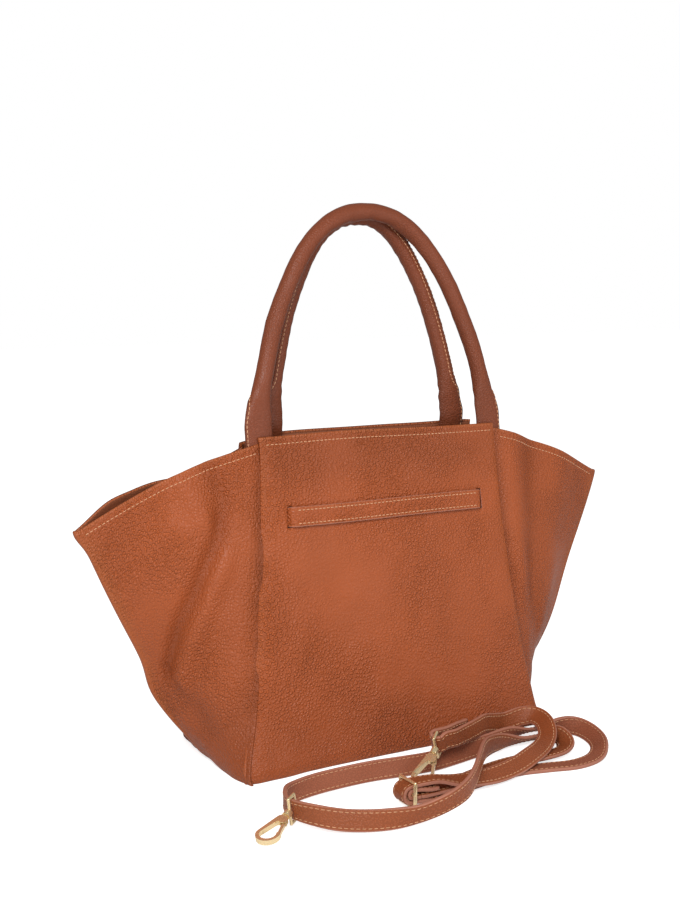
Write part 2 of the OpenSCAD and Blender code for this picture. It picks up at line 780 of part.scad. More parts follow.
module slider_bar() {
  color(gold)
    translate([slider_x, slider_y, bar_z])
      rotate([-90, 0, 0])
        union() {
          translate([0, 0, -slider_in / 2 + 0.1])
            cylinder(d = slider_wire, h = slider_in - 0.2);
          translate([0, 0, -slider_in / 2 - spigot_l + 0.1])
            cylinder(d = spigot_d, h = slider_in + 2 * spigot_l - 0.2);
        }
}

// swivel snap hooks. Own frame of a hook: x along its axis from the middle of the
// eye's near bar to the round end, z upwards out of the flat of the frame.
barrel_x = eye_leg + eye_wire / 2 - 0.3;
barrel_l = 6;
barrel_d = 6.4;
stem_d = 3;
stem_clear = 0.1;
neck_r = 4.6;
neck_x = barrel_x + barrel_l + neck_r + 0.4;
round_x = neck_x + hook_l;
rim_w = 3;
pin_d = 1.6;
gate_clear = 0.05;
slot_half = 1.15;
gate_half = 1.5;
gate_a = asin((hook_r - neck_r) / hook_l);
gate_in = 5.2;
gate_end = hook_l * cos(gate_a) - 2.6;
pin_x = 2.9;
pin_y = rim_w / 2;

module hook1_place() {
  translate([-161.6 + wrap_r, -165.8, hook1_z])
    rotate([0, hook1_tilt, hook1_turn])
      children();
}

module hook2_place() {
  translate(fold2 + (fold_r - wrap_r) * hook2_axis)
    rotate([0, hook2_tilt, hook2_turn])
      children();
}

// closed wire eye with the barrel that the hook turns in
module hook_eye() {
  difference() {
    union() {
      for (x = [0, eye_leg])
        translate([x, 0, -eye_r]) cylinder(d = eye_wire, h = 2 * eye_r);
      for (s = [-1, 1])
        translate([0, 0, s * eye_r])
          rotate([0, 90, 0])
            cylinder(d = eye_wire, h = eye_leg);
      for (s = [-1, 1], x = [0, eye_leg])
        translate([x, 0, s * eye_r]) sphere(d = eye_wire);
      translate([barrel_x, 0, 0])
        rotate([0, 90, 0])
          cylinder(d = barrel_d, h = barrel_l);
    }
    translate([barrel_x + 1.6, 0, 0])
      rotate([0, 90, 0])
        cylinder(d = stem_d + 2 * stem_clear, h = barrel_l);
  }
}

// puts a drawing along the gate side of the frame
module on_gate() {
  translate([neck_x - neck_r * sin(gate_a), neck_r * cos(gate_a), 0])
    rotate([0, 0, gate_a])
      children();
}

module rounded_run(x0, r0, x1, r1) {
  a = asin((r1 - r0) / (x1 - x0));
  translate([x0, 0]) circle(r = r0);
  translate([x1, 0]) circle(r = r1);
  polygon([[x0 - r0 * sin(a), r0 * cos(a)], [x1 - r1 * sin(a), r1 * cos(a)],
           [x1 - r1 * sin(a), -r1 * cos(a)], [x0 - r0 * sin(a), -r0 * cos(a)]]);
}

module hook_frame() {
  union() {
    translate([barrel_x + 2, 0, 0])
      rotate([0, 90, 0])
        cylinder(d = stem_d, h = neck_x - neck_r - barrel_x - 1);
    difference() {
      translate([0, 0, -hook_t / 2])
        linear_extrude(height = hook_t)
          difference() {
            rounded_run(neck_x, neck_r, round_x, hook_r);
            rounded_run(neck_x + 6, 1.9, round_x, hook_r - rim_w);
          }
      on_gate() {
        translate([gate_in, -rim_w - 1.8, -hook_t])
          cube([gate_end - gate_in + 0.3, rim_w + 3, 2 * hook_t]);
        translate([pin_x - 2.4, -rim_w - 1.6, -slot_half])
          cube([gate_in - pin_x + 2.5, rim_w + 3, 2 * slot_half]);
        translate([pin_x, -pin_y, -hook_t])
          cylinder(d = pin_d, h = 2 * hook_t);
      }
    }
  }
}

module hook_gate() {
  on_gate()
    difference() {
      union() {
        translate([gate_in + 1.2, -rim_w + 0.35, -gate_half])
          cube([gate_end - gate_in - 1.3, rim_w - 0.7, 2 * gate_half]);
        translate([pin_x, -rim_w + 0.35, -slot_half + 0.1])
          cube([gate_in - pin_x + 1.4, rim_w - 0.7, slot_half + 0.1]);
        translate([pin_x, -pin_y, -slot_half + 0.1])
          cylinder(r = 1.45, h = slot_half + 0.1);
      }
      translate([pin_x, -pin_y, -hook_t])
        cylinder(d = pin_d + 2 * gate_clear, h = 2 * hook_t);
    }
}

module hook_pin() {
  on_gate()
    translate([pin_x, -pin_y, -hook_t / 2])
      cylinder(d = pin_d, h = hook_t);
}

// the gate's spring, one closed coil round the pin above the gate's boss
module hook_spring() {
  on_gate()
    translate([pin_x, -pin_y, 0.64])
      rotate_extrude()
        translate([pin_d / 2 + 0.4, 0]) circle(d = 0.5, $fn = 16);
}

module hook1_eye() { color(gold) hook1_place() hook_eye(); }
module hook1_frame() { color(gold) hook1_place() hook_frame(); }
module hook1_gate() { color(gold) hook1_place() hook_gate(); }
module hook1_pin() { color(gold) hook1_place() hook_pin(); }
module hook1_spring() { color(gold) hook1_place() hook_spring(); }
module hook2_eye() { color(gold) hook2_place() hook_eye(); }
module hook2_frame() { color(gold) hook2_place() hook_frame(); }
module hook2_gate() { color(gold) hook2_place() hook_gate(); }
module hook2_pin() { color(gold) hook2_place() hook_pin(); }
module hook2_spring() { color(gold) hook2_place() hook_spring(); }

front_panel();
back_panel();
left_wing();
right_wing();
base_panel();
base_board();
lining();
front_facing();
back_facing();
snap_socket();
snap_stud();
front_band();
front_left_tab();
front_right_tab();
back_left_tab();
back_right_tab();
front_handle_cover();
front_handle_core();
back_handle_cover();
back_handle_core();
left_ring_loop();
right_ring_loop();
left_ring();
right_ring();
shoulder_strap();
slider_frame();
slider_bar();
hook1_eye();
hook1_frame();
hook1_gate();
hook1_pin();
hook1_spring();
hook2_eye();
hook2_frame();
hook2_gate();
hook2_pin();
hook2_spring();
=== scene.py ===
"""Dresses the trapeze bag: leather skins, seams, stitching, lining, strap and metalwork.

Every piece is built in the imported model's own frame. The sizes below are in millimetres,
as a bag maker writes them, and become metres where a mesh is made; the strap's route is
in metres.
"""

import logging
import math
from dataclasses import dataclass
from enum import Enum
from typing import Sequence

import bpy
import numpy as np
from mathutils import Matrix, Vector


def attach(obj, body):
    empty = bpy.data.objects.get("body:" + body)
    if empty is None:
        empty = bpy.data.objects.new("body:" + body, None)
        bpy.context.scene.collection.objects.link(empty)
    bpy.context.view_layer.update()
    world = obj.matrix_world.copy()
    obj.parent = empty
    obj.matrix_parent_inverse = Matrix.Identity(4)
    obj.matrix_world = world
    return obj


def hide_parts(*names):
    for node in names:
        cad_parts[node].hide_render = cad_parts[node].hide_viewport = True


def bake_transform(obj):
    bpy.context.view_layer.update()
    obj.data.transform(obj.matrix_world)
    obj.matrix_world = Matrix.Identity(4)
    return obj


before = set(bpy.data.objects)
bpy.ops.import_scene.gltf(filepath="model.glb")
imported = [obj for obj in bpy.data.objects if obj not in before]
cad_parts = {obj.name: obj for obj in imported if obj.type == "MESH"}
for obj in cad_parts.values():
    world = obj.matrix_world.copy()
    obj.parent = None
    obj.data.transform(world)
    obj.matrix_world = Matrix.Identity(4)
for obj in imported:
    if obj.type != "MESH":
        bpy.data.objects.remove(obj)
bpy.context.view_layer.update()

MM = 0.001
LOG = logging.getLogger("trapeze_bag")
UP = (0.0, 0.0, 1.0)
FLAT = (0.0, -1.0, 0.0)
HOOK_PARTS = tuple(f"{hook}_{part}" for hook in ("hook1", "hook2")
                   for part in ("eye", "frame", "gate", "pin", "spring"))
SEAM_STITCH = {"pitch": 3.9, "thick": 0.75}
Pair = tuple[np.ndarray, np.ndarray]


class Slot(Enum):
    """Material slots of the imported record."""

    LEATHER = "leather"
    DARK_LEATHER = "dark_leather"
    LINING = "lining_cloth"


class Side(Enum):
    """The two wings, with the sign of their x."""

    LEFT = -1
    RIGHT = 1


# Small helpers


def lerp(a: float, b: float, t: float) -> float:
    """Returns the value a share t of the way from a to b."""
    return a + (b - a) * t


def smooth(t: np.ndarray | float) -> np.ndarray | float:
    """Returns t eased between 0 and 1."""
    c = np.clip(t, 0.0, 1.0)
    return c * c * (3 - 2 * c)


def unit(v: np.ndarray) -> np.ndarray:
    """Returns vectors of length 1 along the last axis."""
    return v / np.maximum(np.linalg.norm(v, axis=-1, keepdims=True), 1e-12)


def bell(t: np.ndarray, middle: float, width: float) -> np.ndarray:
    """Returns a bell curve of height 1 with that middle and half width."""
    return np.exp(-((t - middle) / width) ** 2)


def bump_at(x: np.ndarray, y: np.ndarray, cx: float, cy: float, rx: float, ry: float,
            turn: float = 0.0) -> np.ndarray:
    """A soft round swelling of height 1.

    Args:
        x, y: where it is wanted.
        cx, cy: its middle.
        rx, ry: its half widths.
        turn: degrees that its long axis is turned by.

    Returns:
        The swelling's height at each place.
    """
    c, s = math.cos(math.radians(turn)), math.sin(math.radians(turn))
    dx, dy = x - cx, y - cy
    return np.exp(-((dx * c + dy * s) / rx) ** 2 - ((-dx * s + dy * c) / ry) ** 2)


def ridge_along(x: np.ndarray, y: np.ndarray, line: Sequence[tuple[float, float]],
                width: float, fade: float = 0.1) -> np.ndarray:
    """A soft ridge of height 1 that follows a bent line.

    Args:
        x, y: where it is wanted.
        line: the points it follows.
        width: its half width.
        fade: the length over which it dies away past its ends.

    Returns:
        The ridge's height at each place.
    """
    best = np.full(np.shape(x), 1e9)
    end = np.zeros(np.shape(x))
    pts = np.array(line, float)
    for k, (a, b) in enumerate(zip(pts[:-1], pts[1:])):
        d = b - a
        t = ((x - a[0]) * d[0] + (y - a[1]) * d[1]) / (d @ d)
        over = np.zeros(np.shape(x))
        if k == 0:
            over = np.maximum(over, -t * math.sqrt(d @ d))
        if k == len(pts) - 2:
            over = np.maximum(over, (t - 1) * math.sqrt(d @ d))
        c = np.clip(t, 0, 1)
        q = np.hypot(x - a[0] - c * d[0], y - a[1] - c * d[1])
        end = np.where(q < best, over, end)
        best = np.minimum(best, q)
    return np.exp(-(best / width) ** 2) * np.exp(-(end / fade) ** 2)


def wavy(x: np.ndarray, y: np.ndarray, seed: int, size: float, parts: int = 9) -> np.ndarray:
    """Soft uneven waves between about -1 and 1, the same on every run.

    Args:
        x, y: where they are wanted, in the same unit as size.
        seed: picks one set of waves.
        size: rough distance from crest to crest.
        parts: how many waves are added up.

    Returns:
        The height of the waves at each place.
    """
    rng = np.random.default_rng(seed)
    total = np.zeros(np.broadcast(x, y).shape)
    for _ in range(parts):
        a = rng.uniform(0, 2 * math.pi)
        k = 2 * math.pi / (size * rng.uniform(0.7, 1.6))
        total += np.sin(k * (x * math.cos(a) + y * math.sin(a)) + rng.uniform(0, 6.28))
    return total / math.sqrt(parts)


def spline_points(rows: np.ndarray, sub: int) -> np.ndarray:
    """A Catmull-Rom curve through rows of numbers.

    Args:
        rows: one row for each point.
        sub: steps between two rows.

    Returns:
        The finer rows, first and last included.
    """
    out = []
    n = len(rows)
    for i in range(n - 1):
        p0, p1, p2, p3 = rows[max(0, i - 1)], rows[i], rows[i + 1], rows[min(n - 1, i + 2)]
        for k in range(sub):
            t = k / sub
            out.append(0.5 * (2 * p1 + (p2 - p0) * t + (2 * p0 - 5 * p1 + 4 * p2 - p3) * t * t
                              + (3 * p1 - p0 - 3 * p2 + p3) * t ** 3))
    out.append(rows[-1])
    return np.array(out)


def along(grid: np.ndarray, axis: int) -> np.ndarray:
    """Distances run along a line or a grid of points.

    Args:
        grid: points in a row, or rows and columns of points.
        axis: 0 to run along the line or up the rows, 1 to run along the columns.

    Returns:
        The distance from the first point, row or column.
    """
    step = np.linalg.norm(np.diff(grid, axis=axis), axis=-1)
    zero = np.zeros_like(np.take(step, [0], axis=axis))
    return np.concatenate([zero, np.cumsum(step, axis=axis)], axis=axis)


def tube_faces(rings: int, sides: int) -> list[tuple[int, ...]]:
    """Lists the faces of a closed tube.

    Args:
        rings: how many rings of points it has.
        sides: how many points each ring has.

    Returns:
        The faces ring by ring, then the first and the last cap.
    """
    faces = [(j * sides + i, j * sides + (i + 1) % sides, (j + 1) * sides + (i + 1) % sides,
              (j + 1) * sides + i) for j in range(rings - 1) for i in range(sides)]
    last = (rings - 1) * sides
    return faces + [tuple(range(sides - 1, -1, -1)), tuple(last + i for i in range(sides))]


def new_piece(name: str, verts: np.ndarray, faces: list, finishes: Sequence[bpy.types.Material],
              uv: np.ndarray | None = None, face_finish: Sequence[int] | None = None,
              layers: dict[str, np.ndarray] | None = None) -> bpy.types.Object:
    """Makes one smooth-shaded mesh piece.

    Args:
        name: the piece's name.
        verts: its points, in millimetres.
        faces: tuples of point numbers.
        finishes: its materials.
        uv: a point on the hide for each vertex, in metres, for the grain.
        face_finish: which finish each face takes.
        layers: named numbers for each vertex, which the materials read.

    Returns:
        The linked object.
    """
    mesh = bpy.data.meshes.new(name)
    mesh.from_pydata((np.asarray(verts, float) * MM).tolist(), [], faces)
    for m in finishes:
        mesh.materials.append(m)
    if face_finish is not None:
        mesh.polygons.foreach_set("material_index", np.asarray(face_finish, np.int32))
    if uv is not None:
        loops = np.zeros(len(mesh.loops), np.int32)
        mesh.loops.foreach_get("vertex_index", loops)
        mesh.uv_layers.new(name="hide").data.foreach_set(
            "uv", np.asarray(uv, np.float32)[loops].ravel())
    for key, values in (layers or {}).items():
        mesh.attributes.new(key, "FLOAT", "POINT").data.foreach_set(
            "value", np.asarray(values, np.float32).ravel())
    mesh.polygons.foreach_set("use_smooth", np.ones(len(mesh.polygons), bool))
    mesh.validate()
    mesh.update()
    obj = bpy.data.objects.new(name, mesh)
    bpy.context.scene.collection.objects.link(obj)
    return obj


# Finishes


class Graph:
    """A short way to write one material's nodes."""

    def __init__(self, name: str) -> None:
        """Starts an empty node material.

        Args:
            name: its name.
        """
        self.material = bpy.data.materials.new(name)
        self.material.use_nodes = True
        self.tree = self.material.node_tree
        self.tree.nodes.clear()
        self.out = self.add("ShaderNodeOutputMaterial")
        self.shader = self.add("ShaderNodeBsdfPrincipled")
        self.link(self.shader.outputs[0], self.out.inputs[0])

    def add(self, kind: str, **values: object) -> bpy.types.Node:
        """Adds a node and sets its values.

        Args:
            kind: the node's type.
            values: properties, or input values by their name with _ for a space.

        Returns:
            The node.
        """
        node = self.tree.nodes.new(kind)
        for key, value in values.items():
            if hasattr(node, key):
                setattr(node, key, value)
        for key, value in values.items():
            if not hasattr(node, key):
                node.inputs[key.replace("_", " ")].default_value = value
        return node

    def link(self, a: bpy.types.NodeSocket, b: bpy.types.NodeSocket) -> None:
        """Joins an output socket to an input socket."""
        self.tree.links.new(a, b)

    def feed(self, socket: bpy.types.NodeSocket, value: object) -> None:
        """Gives an input socket its value.

        Args:
            socket: the input.
            value: an output socket to join it to, or a constant.
        """
        if isinstance(value, bpy.types.NodeSocket):
            self.link(value, socket)
        else:
            socket.default_value = value

    def hide(self) -> bpy.types.NodeSocket:
        """Returns the place on the hide, in metres."""
        return self.add("ShaderNodeUVMap", uv_map="hide").outputs[0]

    def spot(self) -> bpy.types.NodeSocket:
        """Returns the place on the object, in metres."""
        return self.add("ShaderNodeTexCoord").outputs["Object"]

    def texture(self, kind: str, place: bpy.types.NodeSocket,
                **values: object) -> bpy.types.Node:
        """Adds a texture node.

        Args:
            kind: which texture.
            place: where it is read.
            values: its settings, as add takes them.

        Returns:
            The node.
        """
        node = self.add(f"ShaderNodeTex{kind}", **values)
        self.link(place, node.inputs["Vector"])
        return node

    def noise(self, place: bpy.types.NodeSocket, scale: float,
              detail: float) -> bpy.types.NodeSocket:
        """Adds a noise and returns its number."""
        return self.texture("Noise", place, Scale=scale, Detail=detail).outputs["Fac"]

    def vector(self, op: str, a: bpy.types.NodeSocket, b: object) -> bpy.types.NodeSocket:
        """Adds a Vector Math node.

        Args:
            op: which operation.
            a: the vector it works on.
            b: the second value, a socket or a constant.

        Returns:
            Its output socket.
        """
        node = self.add("ShaderNodeVectorMath", operation=op)
        self.link(a, node.inputs[0])
        self.feed(node.inputs["Scale"] if op == "SCALE" else node.inputs[1], b)
        return node.outputs[0]

    def math(self, op: str, a: object, b: object = 0.0, c: object = 0.0) -> bpy.types.NodeSocket:
        """Adds a Math node.

        Args:
            op: its operation.
            a, b, c: sockets or numbers.

        Returns:
            Its result.
        """
        node = self.add("ShaderNodeMath", operation=op)
        for socket, v in zip(node.inputs, (a, b, c)):
            self.feed(socket, v)
        return node.outputs[0]

    def ramp(self, value: bpy.types.NodeSocket, low: float, high: float,
             out_low: float = 0.0, out_high: float = 1.0) -> bpy.types.NodeSocket:
        """Maps a number smoothly from one range to another.

        Args:
            value: the number's socket.
            low, high: the range it comes in.
            out_low, out_high: the range it leaves in.

        Returns:
            The mapped number's socket.
        """
        node = self.add("ShaderNodeMapRange", interpolation_type="SMOOTHSTEP", From_Min=low,
                        From_Max=high, To_Min=out_low, To_Max=out_high)
        self.link(value, node.inputs["Value"])
        return node.outputs["Result"]

    def mix(self, share: object, a: object, b: object) -> bpy.types.NodeSocket:
        """Mixes two colours.

        Args:
            share: socket or number, 0 gives a and 1 gives b.
            a, b: sockets or colours.

        Returns:
            The mixed colour's socket.
        """
        node = self.add("ShaderNodeMix", data_type="RGBA")
        for i, v in ((0, share), (6, a), (7, b)):
            self.feed(node.inputs[i], v)
        return node.outputs[2]

    def set(self, **values: object) -> None:
        """Sets the shader's own constants, by their name with _ for a space."""
        for key, value in values.items():
            self.shader.inputs[key.replace("_", " ")].default_value = value

    def finish(self, colour: bpy.types.NodeSocket, rough: bpy.types.NodeSocket,
               height: bpy.types.NodeSocket, depth: float,
               strength: float = 1.0) -> bpy.types.Material:
        """Joins the shader's inputs.

        Args:
            colour, rough: the surface's colour and roughness.
            height: its relief.
            depth: how deep a relief of 1 is, in millimetres.
            strength: how much of it the light feels.

        Returns:
            The finished material.
        """
        bump = self.add("ShaderNodeBump", Strength=strength, Distance=depth * MM)
        self.link(height, bump.inputs["Height"])
        self.link(bump.outputs[0], self.shader.inputs["Normal"])
        self.link(colour, self.shader.inputs["Base Color"])
        self.link(rough, self.shader.inputs["Roughness"])
        return self.material


def linear(r: float, g: float, b: float) -> tuple[float, float, float, float]:
    """Turns a colour into the renderer's linear numbers.

    Args:
        r, g, b: its channels, from 0 to 255.

    Returns:
        The linear colour, opaque.
    """
    def one(c: float) -> float:
        """Turns one channel."""
        c /= 255
        return c / 12.92 if c <= 0.04045 else ((c + 0.055) / 1.055) ** 2.4
    return one(r), one(g), one(b), 1.0


def tint(colour: tuple, gain: float) -> tuple:
    """Returns a colour made lighter or darker by a factor."""
    return tuple(min(1.0, c * gain) for c in colour[:3]) + (1.0,)


@dataclass(frozen=True)
class Leather:
    """Pebbled calf leather, soft and a little glossy.

    The grain is drawn on the hide's own flat coordinates, in metres. Where a vertex layer
    named grain is 0 the pebbles are pulled flat, where wear is 1 the edge is rubbed, and
    where the layer of tone and painted shading is 1 the hide is darkest, as a darker tone and
    as painted shading in hollows, along creases and on the handles' inner sides. The pebble
    tops are painted lighter and their valleys darker, partly the grain's own tone and partly
    painted highlight and shading.
    """

    name: str
    colour: tuple = (158, 77, 36)
    pebble: float = 2.7
    depth: float = 1.2
    gloss: float = 0.4
    calm: float = 0.35

    def make(self) -> bpy.types.Material:
        """Builds the leather's nodes.

        Returns:
            The material.
        """
        g = Graph(self.name)
        base = linear(*self.colour)
        hide = g.hide()
        size = self.pebble * MM
        warp = g.texture("Noise", hide, Scale=0.35 / size, Detail=2.0).outputs["Color"]
        off = g.vector("SUBTRACT", warp, (0.5, 0.5, 0.5))
        place = g.vector("ADD", hide, g.vector("SCALE", off, 0.5 * size))
        big = g.texture("Voronoi", place, voronoi_dimensions="2D", feature="SMOOTH_F1",
                        Scale=1 / size, Smoothness=0.12).outputs[0]
        small = g.texture("Voronoi", place, voronoi_dimensions="2D", feature="F1",
                          Scale=1.75 / size).outputs[0]
        patch = g.noise(hide, 26.0, 3.0)
        small_share = g.math("MULTIPLY_ADD", g.ramp(patch, 0.42, 0.62), 0.3, 0.1)
        pebbles = g.math("ADD", g.math("MULTIPLY", g.ramp(big, 0.55, 0.12), 0.75),
                         g.math("MULTIPLY", g.ramp(small, 0.6, 0.1), small_share))
        grain = g.add("ShaderNodeAttribute", attribute_name="grain").outputs["Fac"]
        strength = g.math("MULTIPLY", g.ramp(g.noise(hide, 11.0, 2.0), 0.36, 0.6, self.calm, 1.0),
                          grain)
        pores = g.math("MULTIPLY", g.noise(hide, 3.2 / size, 3.0), 0.14)
        rolling = g.math("MULTIPLY", g.noise(hide, 95.0, 2.0), 0.3)
        height = g.math("ADD", g.math("MULTIPLY", pebbles, strength),
                        g.math("ADD", pores, rolling))
        valley = g.math("MULTIPLY", g.ramp(big, 0.3, 0.6), strength)
        colour = g.mix(g.ramp(g.noise(hide, 15.0, 4.0), 0.33, 0.67), tint(base, 0.96),
                       tint(base, 1.06))
        # Painted highlight and shading on the pebbles: tops lighter and valleys darker, partly
        # the grain's own tone.
        pebble_tone_and_painted_light = g.mix(g.ramp(pebbles, 0.15, 0.9), tint(base, 0.84), tint(base, 1.4))
        colour = g.mix(g.math("MULTIPLY", strength, 0.55), colour, pebble_tone_and_painted_light)
        # Darkens the hide where the layer of tone and painted shading asks: a darker tone, and
        # painted shading in hollows, along creases and on the handles' inner sides.
        tone_and_painted_shading = g.add("ShaderNodeAttribute", attribute_name="tone_and_painted_shading").outputs["Fac"]
        colour = g.mix(tone_and_painted_shading, colour, tint(base, 0.58))
        wear = g.add("ShaderNodeAttribute", attribute_name="wear").outputs["Fac"]
        rub = g.math("MULTIPLY", wear, g.ramp(patch, 0.3, 0.6, 0.35, 0.9))
        worn = (base[0] * 1.12, base[1] * 1.5, base[2] * 1.9, 1.0)
        colour = g.mix(g.math("MULTIPLY", rub, 0.6), colour, worn)
        rough = g.math("ADD", g.ramp(patch, 0.3, 0.7, -0.03, 0.04),
                       g.math("MULTIPLY_ADD", valley, 0.14, self.gloss))
        g.set(Specular_IOR_Level=0.32)
        return g.finish(colour, rough, height, self.depth)


@dataclass(frozen=True)
class PaintedEdge:
    """Matt edge paint over cut leather."""

    name: str
    colour: tuple = (166, 106, 84)

    def make(self) -> bpy.types.Material:
        """Builds the edge paint's nodes.

        Returns:
            The material.
        """
        g = Graph(self.name)
        base = linear(*self.colour)
        hide = g.hide()
        fine, wide = g.noise(hide, 900.0, 3.0), g.noise(hide, 60.0, 3.0)
        return g.finish(g.mix(wide, tint(base, 0.82), tint(base, 1.15)),
                        g.ramp(fine, 0.3, 0.7, 0.5, 0.66), g.math("ADD", fine, wide), 0.15, 0.5)


@dataclass(frozen=True)
class Thread:
    """Twisted sewing thread."""

    name: str
    colour: tuple = (216, 160, 118)

    def make(self) -> bpy.types.Material:
        """Builds the thread's nodes.

        Returns:
            The material.
        """
        g = Graph(self.name)
        base = linear(*self.colour)
        spot = g.spot()
        twist = g.texture("Wave", spot, Scale=900.0, Distortion=1.5,
                          bands_direction="DIAGONAL").outputs["Fac"]
        g.set(Sheen_Weight=0.2)
        return g.finish(g.mix(g.noise(spot, 70.0, 2.0), tint(base, 0.8), tint(base, 1.15)),
                        g.ramp(twist, 0.2, 0.8, 0.55, 0.7), twist, 0.1, 0.6)


@dataclass(frozen=True)
class Cloth:
    """Plain woven cloth."""

    name: str
    colour: tuple = (186, 160, 128)
    threads: float = 1400.0

    def make(self) -> bpy.types.Material:
        """Builds the cloth's nodes.

        Returns:
            The material.
        """
        g = Graph(self.name)
        base = linear(*self.colour)
        spot = g.spot()
        warp, weft = (g.texture("Wave", spot, Scale=self.threads, bands_direction=way)
                      for way in ("X", "Z"))
        weave = g.math("MAXIMUM", warp.outputs["Fac"], weft.outputs["Fac"])
        tone = g.noise(spot, 30.0, 5.0)
        colour = g.mix(tone, tint(base, 0.84), tint(base, 1.1))
        g.set(Sheen_Weight=0.15)
        return g.finish(g.mix(g.math("MULTIPLY", weave, 0.25), colour, tint(base, 1.3)),
                        g.ramp(tone, 0.3, 0.7, 0.8, 0.95), weave, 0.15, 0.5)


@dataclass(frozen=True)
class Metal:
    """Polished plated metal with faint wipe marks."""

    name: str
    colour: tuple = (250, 226, 178)
    gloss: float = 0.2

    def make(self) -> bpy.types.Material:
        """Builds the metal's nodes.

        Returns:
            The material.
        """
        g = Graph(self.name)
        base = linear(*self.colour)
        spot = g.spot()
        wipe = g.noise(spot, 160.0, 6.0)
        rough = g.ramp(g.noise(spot, 420.0, 3.0), 0.35, 0.75, self.gloss - 0.05,
                       self.gloss + 0.12)
        g.set(Metallic=0.8)
        return g.finish(g.mix(wipe, tint(base, 0.9), tint(base, 1.06)), rough, wipe, 0.04, 0.25)


@dataclass(frozen=True)
class Board:
    """Grey pressed board."""

    name: str
    colour: tuple = (96, 92, 88)

    def make(self) -> bpy.types.Material:
        """Builds the board's nodes.

        Returns:
            The material.
        """
        g = Graph(self.name)
        base = linear(*self.colour)
        fleck = g.noise(g.spot(), 700.0, 6.0)
        return g.finish(g.mix(fleck, tint(base, 0.7), tint(base, 1.3)),
                        g.ramp(fleck, 0.3, 0.7, 0.8, 0.95), fleck, 0.1, 0.4)


class Finishes:
    """The bag's materials, each made once."""

    def __init__(self) -> None:
        """Makes them all."""
        self.leather = Leather("body_leather").make()
        self.handle = Leather("handle_leather", colour=(122, 60, 34), pebble=1.9, depth=0.45,
                              gloss=0.4, calm=0.4).make()
        self.strap = Leather("strap_leather", colour=(142, 74, 40), pebble=1.9, depth=0.35,
                             gloss=0.42, calm=0.4).make()
        self.strap_back = Leather("strap_back_leather", colour=(148, 84, 58), pebble=1.6,
                                  depth=0.25, gloss=0.55, calm=0.5).make()
        self.lining_leather = Leather("inner_leather", colour=(132, 72, 44), pebble=1.6,
                                      depth=0.25, gloss=0.55, calm=0.5).make()
        self.edge = PaintedEdge("edge_paint").make()
        self.thread = Thread("thread").make()
        self.cloth = Cloth("lining_cloth_weave").make()
        self.gold = Metal("light_gold").make()
        self.board = Board("pressed_board").make()


# Shapes


